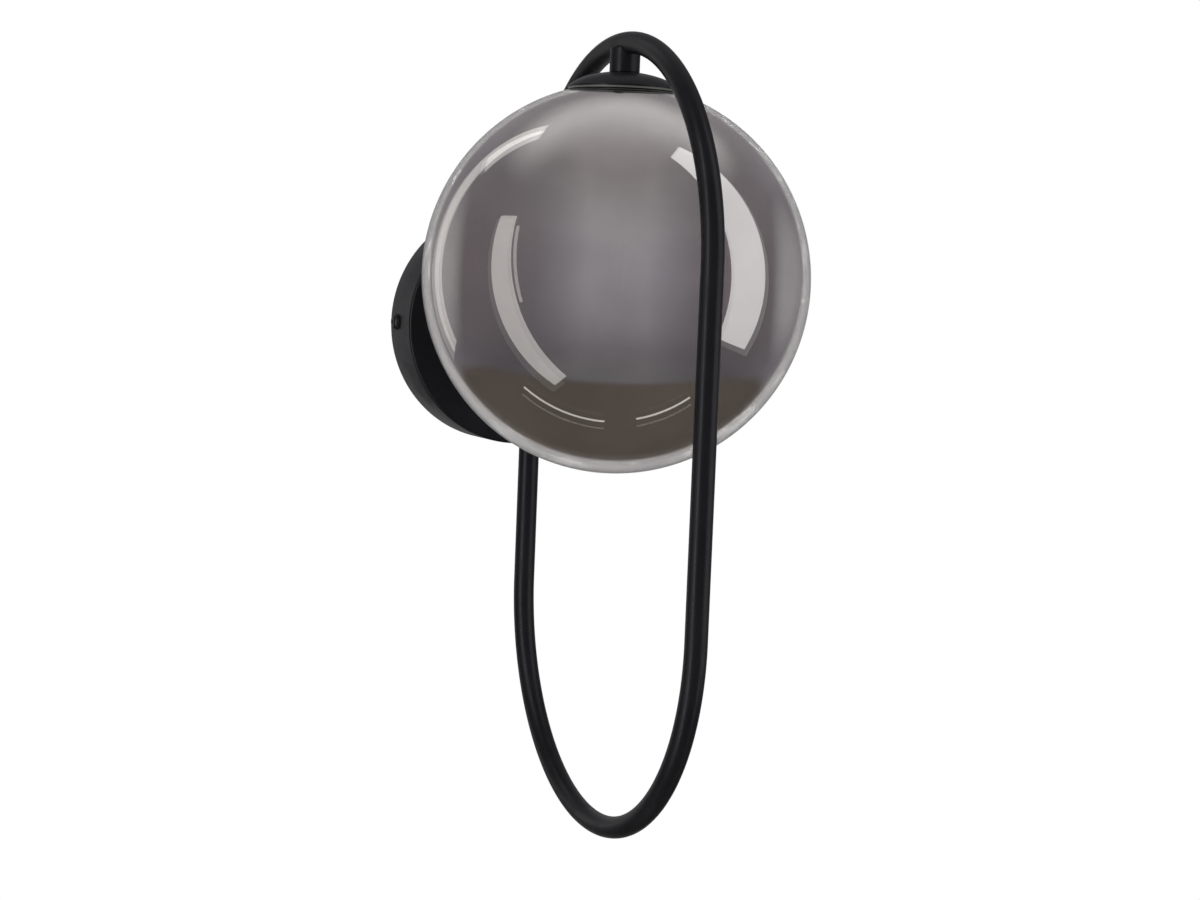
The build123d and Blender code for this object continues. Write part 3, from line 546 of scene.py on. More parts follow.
def tube_loop(name):
    """The loop's outer skin: a ring swept round the top bend, down, round the bottom and up."""
    bm = bmesh.new()
    ring = bmesh.ops.create_circle(bm, segments=56, radius=tube_radius)["verts"]
    bmesh.ops.translate(bm, vec=(0, rear_leg_y, top_bend_z), verts=ring)
    edges = bm.edges[:]
    for height, drop in ((top_bend_z, -straight), (bottom_bend_z, straight)):
        bend = bmesh.ops.spin(
            bm,
            geom=edges,
            cent=(0, lamp_y, height),
            axis=(1, 0, 0),
            angle=math.pi,
            steps=112,
        )
        edges = [item for item in bend["geom_last"] if isinstance(item, bmesh.types.BMEdge)]
        leg = bmesh.ops.extrude_edge_only(bm, edges=edges)["geom"]
        moved = [item for item in leg if isinstance(item, bmesh.types.BMVert)]
        bmesh.ops.translate(bm, vec=(0, 0, drop), verts=moved)
        edges = [item for item in leg if isinstance(item, bmesh.types.BMEdge) and item.is_boundary]
    bmesh.ops.remove_doubles(bm, verts=bm.verts[:], dist=tube_radius / 500)
    bmesh.ops.recalc_face_normals(bm, faces=bm.faces[:])
    return made(name, bm)


loop_skin = tube_loop("loop_tube_coated")
fit(loop_skin, "sconce", "black_powder_coat", powder_coat, "loop_tube")
for unmirrored in (loop_skin, nodes["live_wire"], nodes["neutral_wire"]):
    unmirrored.visible_glossy = False
    unmirrored.visible_transmission = False


# Sleeves and stem nipple
# Two short lengths of 14 mm steel bar, bored and tapped for the nipples, one standing the loop off
# the canopy and one hanging the globe's cap. The end that meets the tube is milled to fit round it.

sleeve_radius = 0.0070
sleeve_bore = 0.00505
sleeve_bevel = 0.0004
sleeve_edge = 0.00012


def sleeve(name, low, high, place):
    """A bored bar between two heights, bevelled at its low end and cut round the loop."""
    bm = bmesh.new()
    tip = pen(bm, sleeve_bore, low)
    tip = line_to(bm, tip, sleeve_radius - sleeve_bevel, low)
    tip = line_to(bm, tip, sleeve_radius, low + sleeve_bevel)
    tip = line_to(bm, tip, sleeve_radius, high)
    tip = line_to(bm, tip, sleeve_bore, high)
    tip = line_to(bm, tip, sleeve_bore, low)
    turn(bm, 96)
    piece = made(name, bm, place)
    cut(piece, loop_skin)
    softened = piece.modifiers.new("edges", "BEVEL")
    softened.width = sleeve_edge
    softened.segments = 2
    softened.limit_method = "ANGLE"
    softened.angle_limit = math.radians(50)
    return piece


low_corner, high_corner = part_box("standoff_sleeve")
standoff = sleeve("standoff_sleeve_coped", -high_corner.y, -low_corner.y, out_of_wall)
fit(standoff, "sconce", "black_powder_coat", powder_coat, "standoff_sleeve")

lamp_axis = Matrix.Translation((0, lamp_y, 0))
low_corner, high_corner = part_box("stem_sleeve")
cap_land_z = low_corner.z
stem = sleeve("stem_sleeve_coped", low_corner.z, high_corner.z, lamp_axis)
fit(stem, "sconce", "black_powder_coat", powder_coat, "stem_sleeve")

low_corner, high_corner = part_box("stem_nipple")
stem_thread = nipple("stem_nipple_threaded", low_corner.z, high_corner.z, lamp_axis)
fit(stem_thread, "sconce", "zinc_plated_steel", zinc, "stem_nipple")


# Wires
# A brown live wire and a blue neutral wire run from the terminal block through the standoff, up
# the rear leg and over the loop, down the stem to the holder's lugs. Both are PVC over copper.

brown_pvc = surface(
    "brown_insulation",
    colours=[(0.10, 0.035, 0.015), (0.13, 0.045, 0.020)],
    roughness=(0.34, 0.50),
    per_mm=(1.2, 1.2, 1.2),
    relief=0.000008,
)
blue_pvc = surface(
    "blue_insulation",
    colours=[(0.02, 0.10, 0.42), (0.03, 0.13, 0.50)],
    roughness=(0.34, 0.50),
    per_mm=(1.2, 1.2, 1.2),
    relief=0.000008,
)
dress(brown_pvc, "live_wire")
dress(blue_pvc, "neutral_wire")


# Domed cap and gaskets
# The cap is spun from 1 mm steel: a flat land for the stem, a crown, a rounder shoulder and an
# upright rim. It sits on a ring of translucent grey silicone that rests on the glass, and hides the
# globe's neck. A black silicone washer lies under the neck, inside.

cap_radius = 0.026
cap_thickness = 0.001
cap_land = 0.008
cap_bore = 0.00505
crown_radius = 0.060
shoulder_reach = 0.017
shoulder_round = 0.024
rim_edge = 0.00025
gasket_gap = 0.0011
globe_radius = 0.090
globe_centre_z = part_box("glass_globe")[0].z + globe_radius
crown_z = cap_land_z - math.sqrt(crown_radius**2 - cap_land**2)
crown_lean = math.asin(shoulder_reach / crown_radius)
shoulder_centre = (
    (crown_radius - shoulder_round) * math.sin(crown_lean),
    crown_z + (crown_radius - shoulder_round) * math.cos(crown_lean),
)


def dome_angles(shrink):
    """Degrees above the level of the ends of the cap's two arcs, drawn in by shrink."""
    land = math.asin((cap_land_z - shrink - crown_z) / (crown_radius - shrink))
    rim = math.acos((cap_radius - shrink - shoulder_centre[0]) / (shoulder_round - shrink))
    return math.degrees(land), 90 - math.degrees(crown_lean), math.degrees(rim)


def seat_height(reach):
    """How high the gasket's upper face is at a distance from its axis."""
    return globe_centre_z + math.sqrt((globe_radius + gasket_gap) ** 2 - reach**2)


bm = bmesh.new()
land_angle, joint_angle, rim_angle = dome_angles(0)
tip = pen(bm, cap_bore, cap_land_z - cap_thickness)
tip = line_to(bm, tip, cap_bore, cap_land_z)
tip = line_to(bm, tip, cap_land, cap_land_z)
tip = arc_to(bm, tip, (0, crown_z), joint_angle - land_angle, 10)
tip = arc_to(bm, tip, shoulder_centre, rim_angle - joint_angle, 24)
seat_slope = math.asin(cap_radius / (globe_radius + gasket_gap))
edge_lift = rim_edge * (math.tan(seat_slope) + 1 / math.cos(seat_slope))
edge_centre = (cap_radius - rim_edge, seat_height(cap_radius) + edge_lift)
tip = line_to(bm, tip, cap_radius, edge_centre[1])
tip = arc_to(bm, tip, edge_centre, -90 - math.degrees(seat_slope), 6)
inside = cap_radius - cap_thickness
tip = line_to(bm, tip, inside, seat_height(inside))
land_angle, joint_angle, rim_angle = dome_angles(cap_thickness)
inner_round = shoulder_round - cap_thickness
inner_brow = shoulder_centre[1] + inner_round * math.sin(math.radians(rim_angle))
tip = line_to(bm, tip, inside, inner_brow)
tip = arc_to(bm, tip, shoulder_centre, joint_angle - rim_angle, 24)
tip = arc_to(bm, tip, (0, crown_z), land_angle - joint_angle, 10)
tip = line_to(bm, tip, cap_bore, cap_land_z - cap_thickness)
turn(bm, 144)
cap_dome = made("dome_cap_spun", bm, lamp_axis, sharp_degrees=40)
fit(cap_dome, "sconce", "black_powder_coat", powder_coat, "dome_cap")

black_silicone = surface(
    "black_silicone",
    colours=[(0.010, 0.010, 0.010), (0.018, 0.018, 0.018)],
    roughness=(0.55, 0.72),
    per_mm=(3.0, 3.0, 3.0),
    relief=0.000012,
)
grey_silicone = surface(
    "grey_silicone",
    colours=[(0.30, 0.33, 0.28), (0.36, 0.38, 0.33)],
    roughness=(0.30, 0.50),
    per_mm=(2.0, 2.0, 2.0),
    relief=0.000010,
    Transmission_Weight=0.5,
    IOR=1.41,
)
dress(grey_silicone, "cap_gasket")
dress(black_silicone, "glass_washer")


# Lamp holder
# A small screw lamp holder moulded in black thermoset: a cover that screws onto the nipple, and a
# skirt with a coarse rounded thread for the shade ring. Inside, a white core carries brass lugs,
# rivets, a spring contact and a thin brass shell pressed with the lamp's thread.

phenolic = surface(
    "black_thermoset",
    colours=[(0.012, 0.012, 0.012), (0.020, 0.019, 0.018)],
    roughness=(0.30, 0.44),
    per_mm=(2.2, 2.2, 2.2),
    relief=0.000010,
)
dress(phenolic, "holder_cover")
dress(polyamide, "holder_core")
dress(brass, "holder_lugs", "holder_rivets", "holder_centre_contact")
dress(zinc, "holder_lug_screws")

skirt_low, skirt_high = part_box("holder_skirt")
skirt_radius = 0.0140
skirt_root = 0.0133
skirt_bore = 0.0124
skirt_pitch = 0.0020
skirt_thread_length = 0.016
skirt_bevel = 0.0005


def rounded_ridge(crest, root, points=10):
    """One turn of a rounded thread as (radius, share) pairs."""
    middle = (crest + root) / 2
    swing = (crest - root) / 2
    shares = [point / points for point in range(points + 1)]
    return [(middle - swing * math.cos(math.tau * share), share) for share in shares]


bm = bmesh.new()
thread_low = skirt_high.z - skirt_thread_length
thread_high = skirt_high.z - skirt_bevel
thread(bm, rounded_ridge(skirt_radius, skirt_root), skirt_pitch, thread_low, thread_high)
ring = ring_on(bm, open_ring(bm, thread_high), skirt_root, skirt_high.z)
top_ring = ring_on(bm, ring, skirt_bore, skirt_high.z)
ring = ring_on(bm, open_ring(bm, thread_low), skirt_root, thread_low - skirt_bevel)
ring = ring_on(bm, ring, skirt_root, skirt_low.z + skirt_bevel)
ring = ring_on(bm, ring, skirt_root - skirt_bevel, skirt_low.z)
bottom_ring = ring_on(bm, ring, skirt_bore, skirt_low.z)
bmesh.ops.bridge_loops(bm, edges=top_ring + bottom_ring)
bmesh.ops.recalc_face_normals(bm, faces=bm.faces[:])
skirt = made("holder_skirt_threaded", bm, lamp_axis, sharp_degrees=45)
fit(skirt, "sconce", "black_plastic", phenolic, "holder_skirt")

shell_low, shell_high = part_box("holder_screw_shell")
shell_root = 0.00705
shell_crest = 0.00745
shell_gauge = 0.0003
shell_pitch = 0.002822
shell_lip = 0.0012
bm = bmesh.new()
thread(bm, rounded_ridge(shell_crest, shell_root), shell_pitch, shell_low.z + shell_lip, shell_high.z)
ring_on(bm, open_ring(bm, shell_low.z + shell_lip), shell_crest + shell_lip, shell_low.z)
bmesh.ops.recalc_face_normals(bm, faces=bm.faces[:])
bmesh.ops.solidify(bm, geom=bm.faces[:], thickness=-shell_gauge)
bmesh.ops.recalc_face_normals(bm, faces=bm.faces[:])
shell = made("holder_shell_pressed", bm, lamp_axis, sharp_degrees=60)
fit(shell, "sconce", "brass", brass, "holder_screw_shell")


# Globe
# Blown glass, 180 mm across, clear outside and coated inside with a thin smoky half mirror. The
# wall is thicker below than above. The neck is cut and ground, and hangs between two soft rings.

glass_wall = 0.0038
bubble_rise = 0.0014
neck_radius = 0.016
neck_round = 0.0007
bubble_radius = globe_radius - glass_wall


def glass(name, tones, cloud_size, **fixed):
    """A glass whose tint drifts between two tones, clear but for a few faint smudges."""
    constants = {"Transmission_Weight": 1.0, "IOR": 1.5, **fixed}
    material, _, marks, gloss = clouded(name, tones, (0.0, 0.02), cloud_size, constants)
    material.node_tree.links.new(marks.outputs["Smudge"], gloss.inputs["Value"])
    return material


globe_skin = glass("globe_glass", tones=[(0.90, 0.90, 0.89), (0.93, 0.93, 0.92)], cloud_size=60.0)
smoke_mirror = glass(
    "smoke_mirror",
    tones=[(0.50, 0.485, 0.485), (0.56, 0.545, 0.545)],
    cloud_size=45.0,
    Metallic=0.95,
)


def angle_at(sphere, reach):
    """Degrees above the level at which a sphere is a distance from its upright axis."""
    return math.degrees(math.acos(reach / sphere))


bm = bmesh.new()
neck_outer = angle_at(globe_radius, neck_radius + neck_round)
neck_inner = angle_at(bubble_radius, neck_radius + neck_round)
tip = pen(bm, 0, -globe_radius)
tip = arc_to(bm, tip, (0, 0), 90 + neck_outer, 150)
outer_lip = tip.co.copy()
tip = line_to(bm, tip, neck_radius, outer_lip.z - neck_round)
inner_lip_z = bubble_rise + math.sqrt(bubble_radius**2 - (neck_radius + neck_round) ** 2)
tip = line_to(bm, tip, neck_radius, inner_lip_z + neck_round)
tip = line_to(bm, tip, neck_radius + neck_round, inner_lip_z)
tip = arc_to(bm, tip, (0, bubble_rise), -90 - neck_inner, 140)
turn(bm, 224)
globe = made("globe_blown", bm, Matrix.Translation((0, lamp_y, globe_centre_z)), sharp_degrees=35)
fit(globe, "globe", "smoked_glass", globe_skin, "glass_globe")
globe.data.materials.append(smoke_mirror)
bubble_centre = Vector((0, lamp_y, globe_centre_z + bubble_rise))
for face in globe.data.polygons:
    on_bubble = (Vector(face.center) - bubble_centre).length < bubble_radius + glass_wall / 4
    face.material_index = 1 if on_bubble else 0

dress(phenolic, "shade_ring")


# Lamp
# A small screw lamp with a round clear bulb: a nickel plated cap with a pressed thread, a black
# glass insulator and a solder tip, and inside, upright phosphor coated filaments round a stem.

nickel = surface(
    "nickel_plating",
    colours=[(0.62, 0.60, 0.57), (0.70, 0.68, 0.65)],
    roughness=(0.16, 0.34),
    per_mm=(0.2, 0.2, 7.0),
    relief=0.000004,
    Metallic=1.0,
)
solder = surface(
    "solder",
    colours=[(0.45, 0.45, 0.44), (0.58, 0.58, 0.57)],
    roughness=(0.28, 0.50),
    per_mm=(1.4, 1.4, 1.4),
    relief=0.00004,
    cloud_size=2.0,
    Metallic=1.0,
)
vitrite = surface(
    "black_insulator_glass",
    colours=[(0.010, 0.010, 0.014), (0.016, 0.015, 0.020)],
    roughness=(0.06, 0.18),
    per_mm=(1.0, 1.0, 1.0),
    relief=0.00002,
)
phosphor = surface(
    "phosphor",
    colours=[(0.86, 0.55, 0.08), (0.92, 0.64, 0.14)],
    roughness=(0.55, 0.70),
    per_mm=(0.8, 0.8, 1.6),
    relief=0.00005,
    cloud_size=1.5,
)
clear_glass = glass("clear_glass", tones=[(0.97, 0.97, 0.97), (0.99, 0.99, 0.99)], cloud_size=30.0)
dress(solder, "lamp_tip")
dress(vitrite, "lamp_insulator")
dress(phosphor, "lamp_filaments")
dress(clear_glass, "lamp_stem")

ball_radius = 0.0225
shoulder_radius = 0.014
bulb_neck = 0.0085
bulb_gauge = 0.0008
bulb_low, bulb_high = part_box("lamp_bulb")
ball_z = bulb_low.z + ball_radius
shoulder_reach = bulb_neck + shoulder_radius
shoulder_rise = math.sqrt((ball_radius + shoulder_radius) ** 2 - shoulder_reach**2)
shoulder_angle = math.degrees(math.atan2(shoulder_rise, shoulder_reach))
shoulder_centre = (shoulder_reach, ball_z + shoulder_rise)

bm = bmesh.new()
tip = pen(bm, 0, ball_z - ball_radius)
tip = arc_to(bm, tip, (0, ball_z), 90 + shoulder_angle, 48)
tip = arc_to(bm, tip, shoulder_centre, -shoulder_angle, 14)
tip = line_to(bm, tip, bulb_neck, bulb_high.z)
tip = line_to(bm, tip, bulb_neck - bulb_gauge, bulb_high.z)
tip = line_to(bm, tip, bulb_neck - bulb_gauge, shoulder_centre[1])
tip = arc_to(bm, tip, shoulder_centre, shoulder_angle, 14)
tip = arc_to(bm, tip, (0, ball_z), -90 - shoulder_angle, 48)
turn(bm, 96)
bulb = made("lamp_bulb_blown", bm, lamp_axis)
fit(bulb, "lamp", "clear_glass", clear_glass, "lamp_bulb")

cap_low, cap_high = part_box("lamp_cap")
cap_crest = 0.00695
cap_root = 0.0064
cap_pitch = 0.002822
cap_rim = 0.0085
cap_rim_height = 0.001
cap_flare = 0.002
cap_shoulder = 0.001
bm = bmesh.new()
thread_low = cap_low.z + cap_rim_height + cap_flare
thread_high = cap_high.z - cap_shoulder
thread(bm, rounded_ridge(cap_crest, cap_root), cap_pitch, thread_low, thread_high)
ring = ring_on(bm, open_ring(bm, thread_high), cap_root - cap_shoulder, cap_high.z)
bmesh.ops.edgeloop_fill(bm, edges=ring)
ring = ring_on(bm, open_ring(bm, thread_low), cap_crest, thread_low - cap_shoulder / 2)
ring = ring_on(bm, ring, cap_rim, cap_low.z + cap_rim_height)
ring = ring_on(bm, ring, cap_rim, cap_low.z)
bmesh.ops.edgeloop_fill(bm, edges=ring)
bmesh.ops.recalc_face_normals(bm, faces=bm.faces[:])
lamp_cap = made("lamp_cap_threaded", bm, lamp_axis, sharp_degrees=50)
fit(lamp_cap, "lamp", "nickel", nickel, "lamp_cap")

# Bare lead wires: a ring joins the filaments at each end, and one across it holds it to the stem.
filament_low, filament_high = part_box("lamp_filaments")
filament_circle = 0.0075
lead_radius = 0.00022


def wire_ring(bm, height):
    """A thin wire bent to a ring round the lamp's axis."""
    section = bmesh.ops.create_circle(bm, segments=10, radius=lead_radius)["verts"]
    upright = Matrix.Translation((filament_circle, 0, height)) @ Matrix.Rotation(math.pi / 2, 4, "X")
    bmesh.ops.transform(bm, matrix=upright, verts=section)
    edges = list({edge for vert in section for edge in vert.link_edges})
    bmesh.ops.spin(
        bm, geom=edges, cent=(0, 0, 0), axis=(0, 0, 1), angle=math.tau, steps=48, use_merge=True
    )


def wire_across(bm, height):
    """A straight thin wire from side to side of the ring."""
    bmesh.ops.create_cone(
        bm,
        cap_ends=True,
        segments=10,
        radius1=lead_radius,
        radius2=lead_radius,
        depth=2 * filament_circle,
        matrix=Matrix.Translation((0, 0, height)) @ Matrix.Rotation(math.pi / 2, 4, "X"),
    )


bm = bmesh.new()
for height in (filament_low.z, filament_high.z):
    wire_ring(bm, height)
bmesh.ops.remove_doubles(bm, verts=bm.verts[:], dist=weld)
for height in (filament_low.z, filament_high.z):
    wire_across(bm, height)
bmesh.ops.recalc_face_normals(bm, faces=bm.faces[:])
leads = made("lamp_lead_wires", bm, lamp_axis)
fit(leads, "lamp", "nickel", nickel)


# Canopy screws
# Two black M4 screws with domed cross recessed heads, one at each side, go through the canopy into
# the tapped collars in the bracket's ears and hold the whole sconce to its bracket.

screw_crest = 0.00195
screw_root = 0.00160
screw_pitch = 0.0007
screw_length = 0.0080
head_radius = 0.0040
head_height = 0.0026
head_round = 0.0021
head_steps = 8
cross_length = 0.0044
cross_width = 0.0010
cross_depth = 0.0015
cross_foot_share = 0.3

screw_black = surface(
    "black_oxide_screw",
    colours=[(0.012, 0.012, 0.013), (0.022, 0.022, 0.024)],
    roughness=(0.28, 0.42),
    per_mm=(1.5, 1.5, 1.5),
    relief=0.000010,
    cloud_size=3.0,
    Metallic=0.35,
)


def wing(name, place, degrees):
    """One slot of a cross recess, narrower at its foot and turned about the screw's axis."""
    bm = bmesh.new()
    bmesh.ops.create_cone(
        bm,
        cap_ends=True,
        segments=4,
        radius1=cross_foot_share,
        radius2=1.0,
        depth=2 * cross_depth,
    )
    bmesh.ops.rotate(bm, matrix=Matrix.Rotation(math.radians(45), 3, "Z"), verts=bm.verts[:])
    size = Vector((cross_length / math.sqrt(2), cross_width / math.sqrt(2), 1))
    bmesh.ops.scale(bm, vec=size, verts=bm.verts[:])
    turned = Matrix.Rotation(math.radians(degrees), 4, "Z")
    return made(name, bm, place @ Matrix.Translation((0, 0, head_height)) @ turned)


for side, name in ((-1, "left"), (1, "right")):
    place = Matrix.Translation((side * canopy_radius, -side_hole_from_wall, 0))
    place = place @ Matrix.Rotation(side * math.radians(90), 4, "Y")
    bm = bmesh.new()
    ridge = [(screw_root, 0), (screw_crest, 0.45), (screw_crest, 0.55), (screw_root, 1)]
    thread_low = screw_root / 2 - screw_length
    thread(bm, ridge, screw_pitch, thread_low, -screw_pitch / 2, steps=28)
    ring = ring_on(bm, open_ring(bm, thread_low), screw_root / 2, -screw_length)
    bmesh.ops.edgeloop_fill(bm, edges=ring)
    ring = ring_on(bm, open_ring(bm, -screw_pitch / 2), screw_root, 0)
    ring = ring_on(bm, ring, head_radius, 0)
    ring = ring_on(bm, ring, head_radius, head_height - head_round)
    for step in range(1, head_steps + 1):
        lift = math.radians(90 * step / head_steps)
        reach = head_radius - head_round * (1 - math.cos(lift))
        ring = ring_on(bm, ring, reach, head_height - head_round * (1 - math.sin(lift)))
    bmesh.ops.edgeloop_fill(bm, edges=ring)
    bmesh.ops.recalc_face_normals(bm, faces=bm.faces[:])
    screw = made("canopy_screw_threaded_" + name, bm, place)
    wings = [wing("cross_wing", place, degrees) for degrees in (45, 135)]
    cut(screw, *wings)
    discard(*wings)
    fit(screw, "canopy_screw_" + name, "black_screw", screw_black, "canopy_screw_" + name)


# Studio
# The camera stands a little left of the sconce and looks slightly down on it, over a pale floor.
# Soft panels and strips stand beside and under the globe, which mirrors them as bright arcs. Two
# tall rim lights, one at each side and nearer the camera, draw the edges of the coated pieces and
# don't light the glass.

look = Vector((0.39321489, 0.91614408, -0.07785936))
right_hand = Vector((0.91942604, -0.3912275, 0.0399599))
head_up = Vector((-0.0061483, 0.08729875, 0.9961632))
camera_place = Vector((-0.438153, -1.158974, 0.032913))
camera_data = bpy.data.cameras.new("camera")
camera_data.sensor_width = 36
camera_data.lens = 71.05
camera = bpy.data.objects.new("camera", camera_data)
bpy.context.scene.collection.objects.link(camera)
turned = Matrix((right_hand, head_up, -look)).transposed().to_4x4()
camera.matrix_world = Matrix.Translation(camera_place) @ turned
bpy.context.scene.camera = camera
bpy.context.scene.view_settings.view_transform = "Standard"

floor_z = -0.75
floor_radius = 1.5
bm = bmesh.new()
bmesh.ops.create_circle(bm, cap_ends=True, segments=96, radius=floor_radius)
floor = made("floor", bm, Matrix.Translation((0, lamp_y, floor_z)))
pale = bpy.data.materials.new("pale_floor")
pale.use_nodes = True
pale_shader = pale.node_tree.nodes["Principled BSDF"]
pale_shader.inputs["Base Color"].default_value = (0.82, 0.81, 0.80, 1)
pale_shader.inputs["Roughness"].default_value = 0.8
pale_shader.inputs["Emission Color"].default_value = (1, 1, 1, 1)
pale_shader.inputs["Emission Strength"].default_value = 0.28
floor.data.materials.append(pale)
floor.visible_glossy = False
floor.visible_transmission = False
floor.visible_shadow = False

towards_camera = Vector((-look.x, -look.y, 0)).normalized()
sideways = Vector((right_hand.x, right_hand.y, 0)).normalized()
globe_centre = Vector((0, lamp_y, globe_centre_z))

off_the_glass = bpy.data.collections.new("off_the_glass")
off_the_glass.objects.link(globe)
off_the_glass.collection_objects[0].light_linking.link_state = "EXCLUDE"


def soft_light(name, top, bottom, width, glow, tint=(1.0, 1.0, 1.0), on_glass=True):
    """A flat panel that faces the globe, from the middles of its two ends.

    Each end is metres to the camera's right, towards the camera and up from the globe's centre,
    and glow is watts from each square metre.
    """
    ends = [
        globe_centre + sideways * side + towards_camera * near + Vector((0, 0, rise))
        for side, near, rise in (top, bottom)
    ]
    middle = (ends[0] + ends[1]) / 2
    along = (ends[0] - ends[1]).normalized()
    inward = globe_centre - middle
    facing = (inward - along * inward.dot(along)).normalized()
    lamp = bpy.data.lights.new(name, "AREA")
    lamp.shape = "RECTANGLE"
    lamp.size = width
    lamp.size_y = (ends[0] - ends[1]).length
    lamp.energy = glow * lamp.size * lamp.size_y
    lamp.color = tint
    panel = bpy.data.objects.new(name, lamp)
    turned = Matrix((along.cross(-facing), along, -facing)).transposed().to_4x4()
    panel.matrix_world = Matrix.Translation(middle) @ turned
    if not on_glass:
        panel.light_linking.receiver_collection = off_the_glass
    bpy.context.scene.collection.objects.link(panel)


warm_white = (1.0, 0.985, 0.94)
soft_light("right_panel", (0.99, 0.14, 2.3), (0.99, 0.14, -0.55), 0.47, 2.9)
soft_light("left_panel", (-0.79, -0.62, 1.46), (-0.79, -0.62, -0.41), 0.18, 1.9, warm_white)
soft_light("left_panel_head", (-0.865, -0.525, 1.46), (-0.83, -0.57, 0.62), 0.19, 1.7, warm_white)
soft_light("inner_panel", (-0.677, 0.217, 0.336), (-0.349, 0.275, -0.733), 0.15, 1.9, warm_white)
soft_light("inner_strip", (-0.522, 0.278, 0.235), (-0.501, 0.347, -0.163), 0.022, 1.4, warm_white)
soft_light("low_left_strip", (-0.377, 0.006, -0.499), (-0.026, -0.007, -0.632), 0.016, 3.0, warm_white)
soft_light("low_right_strip", (0.336, 0.033, -0.513), (0.108, 0.011, -0.601), 0.016, 3.0, warm_white)
soft_light("left_rim", (-0.70, 0.71, 1.2), (-0.70, 0.71, -1.2), 0.16, 15.0, on_glass=False)
soft_light("right_rim", (0.87, 0.50, 1.2), (0.87, 0.50, -1.2), 0.16, 6.0, on_glass=False)


# Room
# The plain room that the globe mirrors: walls that are lightest a little above the level and darker
# to the sides, a brownish floor, a light ceiling, a glow past each tall panel and a white backdrop.
# The camera sees white all round, and satin surfaces see the room dimmer than the glass does.

world = bpy.data.worlds.new("studio")
world.use_nodes = True
bpy.context.scene.world = world
room = world.node_tree
link = room.links.new
direction = add(room, "ShaderNodeTexCoord", (-1500, 0)).outputs["Generated"]

# Wall colours by degrees above the level, and their shares by how far a direction is to the side.
wall_tones = [
    (-90, (0.24, 0.23, 0.24)),
    (-60, (0.26, 0.25, 0.26)),
    (-44, (0.29, 0.275, 0.295)),
    (-26, (0.42, 0.40, 0.425)),
    (0, (0.54, 0.51, 0.55)),
    (26, (0.58, 0.55, 0.575)),
    (62, (0.46, 0.43, 0.43)),
    (84, (0.56, 0.53, 0.53)),
]
side_shares = [
    (0.30, (1.0, 1.0, 1.0)),
    (0.55, (0.74, 0.74, 0.75)),
    (0.75, (0.57, 0.55, 0.56)),
    (1.0, (0.50, 0.46, 0.46)),
]

# What lies over the walls, in order: a colour, and one or two ways that a direction has to face,
# each with the cosines where it starts and where it is full. The two glows lie to either side of
# straight ahead of the camera, as far round as their bearing.
up = Vector((0, 0, 1))
glow_bearing = math.radians(52)
ahead = -towards_camera * math.cos(glow_bearing)
aside = sideways * math.sin(glow_bearing)
floor_lean = 0.481
floor_way = (look * floor_lean - up).normalized()
overlays = [
    ((0.170, 0.145, 0.125), [(floor_way, 0.64, 0.70)]),
    ((1.02, 1.00, 0.99), [(up, 0.60, 0.88), (look, -0.30, 0.45)]),
    ((0.62, 0.60, 0.60), [(ahead - aside, 0.90, 1.0)]),
    ((0.60, 0.58, 0.60), [(ahead + aside, 0.92, 1.0)]),
    ((1.0, 0.99, 0.98), [(look, 0.80, 0.87)]),
]
satin_share = (0.30, 0.30, 0.31, 1)
white = (1.0, 1.0, 1.0, 1)


def worked_out(at, operation, *sources, clamp=False):
    """The result of a Math node on sockets."""
    node = add(room, "ShaderNodeMath", at)
    node.operation = operation
    node.use_clamp = clamp
    for socket, source in zip(node.inputs, sources):
        link(source, socket)
    return node.outputs[0]


def cosine_to(at, way):
    """The cosine between a direction and a way."""
    node = add(room, "ShaderNodeVectorMath", at)
    node.operation = "DOT_PRODUCT"
    node.inputs[1].default_value = way
    link(direction, node.inputs[0])
    return node.outputs["Value"]


def facing_share(at, way, start, full):
    """How far a direction is turned to a way, from 0 at one cosine to 1 at another."""
    share = add(room, "ShaderNodeMapRange", at, From_Min=start, From_Max=full)
    share.interpolation_type = "SMOOTHSTEP"
    link(cosine_to((at[0] - 200, at[1]), way), share.inputs["Value"])
    return share.outputs["Result"]


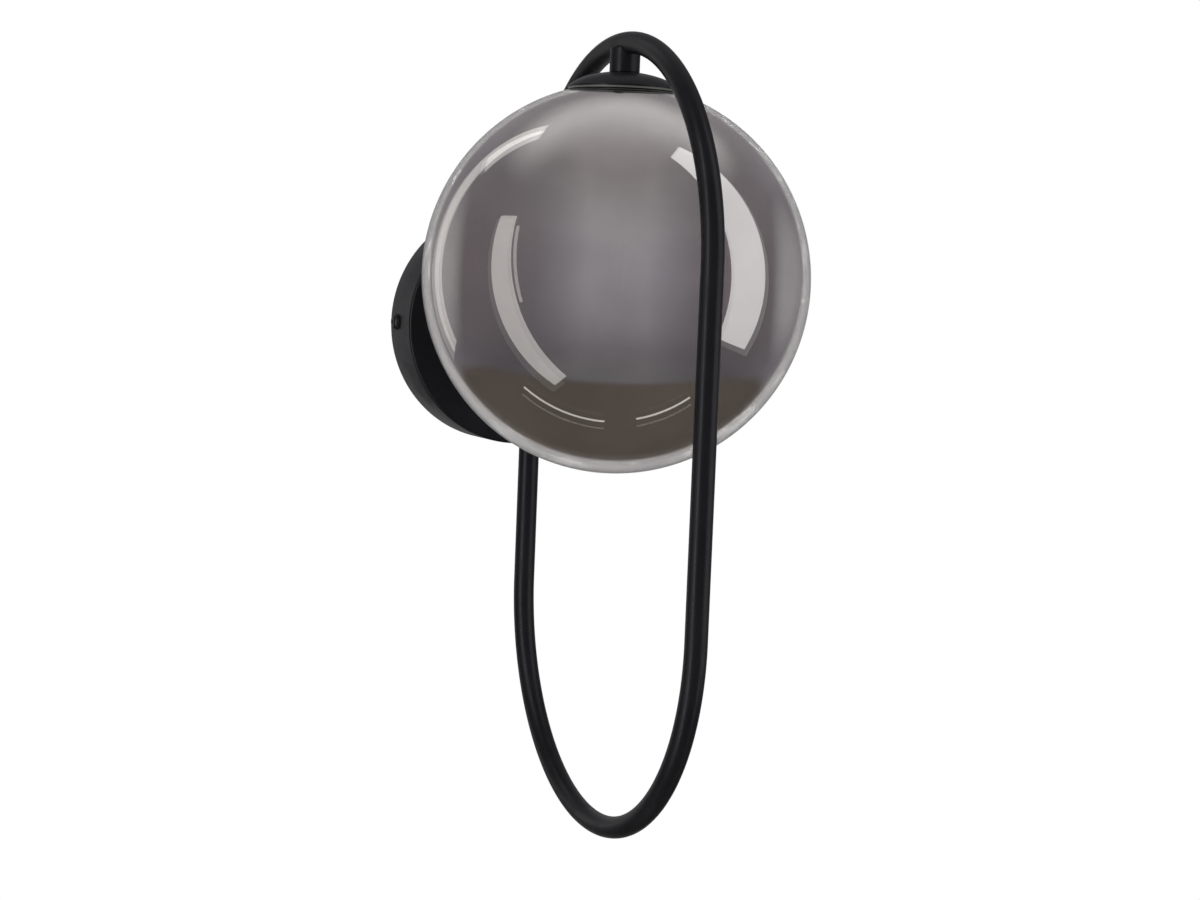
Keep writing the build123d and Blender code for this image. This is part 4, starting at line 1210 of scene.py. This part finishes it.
def tone_ramp(at, stops, place):
    """A colour ramp from (position, colour) stops, read at a place."""
    ramp = add(room, "ShaderNodeValToRGB", at)
    while len(ramp.color_ramp.elements) < len(stops):
        ramp.color_ramp.elements.new(1.0)
    for stop, (position, colour) in zip(ramp.color_ramp.elements, stops):
        stop.position = position
        stop.color = (*colour, 1)
    link(place, ramp.inputs["Fac"])
    return ramp.outputs["Color"]


def blended(at, blend_type, share, under, over):
    """One colour blended over another by a share; each of the three is a socket or a value."""
    mix = add(room, "ShaderNodeMix", at)
    mix.data_type = "RGBA"
    mix.blend_type = blend_type
    for label, source in (("Factor", share), ("A", under), ("B", over)):
        if isinstance(source, bpy.types.NodeSocket):
            link(source, mix.inputs[label])
        else:
            mix.inputs[label].default_value = source
    return mix.outputs["Result"]


split = add(room, "ShaderNodeSeparateXYZ", (-1300, 200))
link(direction, split.inputs["Vector"])
rise = worked_out((-1100, 200), "ARCSINE", split.outputs["Z"])
height_share = mask(room, rise, (-900, 400), -math.pi / 2, math.pi / 2)
height_stops = [((degrees + 90) / 180, tone) for degrees, tone in wall_tones]
by_height = tone_ramp((-700, 200), height_stops, height_share)
to_side = worked_out((-900, 700), "ABSOLUTE", cosine_to((-1100, 700), sideways))
by_side = tone_ramp((-700, 700), side_shares, to_side)
around = blended((-400, 500), "MULTIPLY", 1.0, by_height, by_side)
for row, (tone, limits) in enumerate(overlays):
    level = -200 - 400 * row
    share = facing_share((-900, level), *limits[0])
    for way, start, full in limits[1:]:
        other = facing_share((-900, level - 200), way, start, full)
        share = worked_out((-600, level), "MULTIPLY", share, other)
    around = blended((-200 + 100 * row, 300), "MIX", share, around, (*tone, 1))

path = add(room, "ShaderNodeLightPath", (-600, 900))
glossy = path.outputs["Is Glossy Ray"]
through = path.outputs["Is Transmission Ray"]
satin = worked_out((-200, 900), "SUBTRACT", glossy, through, clamp=True)
around = blended((400, 300), "MULTIPLY", satin, around, satin_share)
around = blended((600, 300), "MIX", path.outputs["Is Camera Ray"], around, white)
link(around, room.nodes["Background"].inputs["Color"])
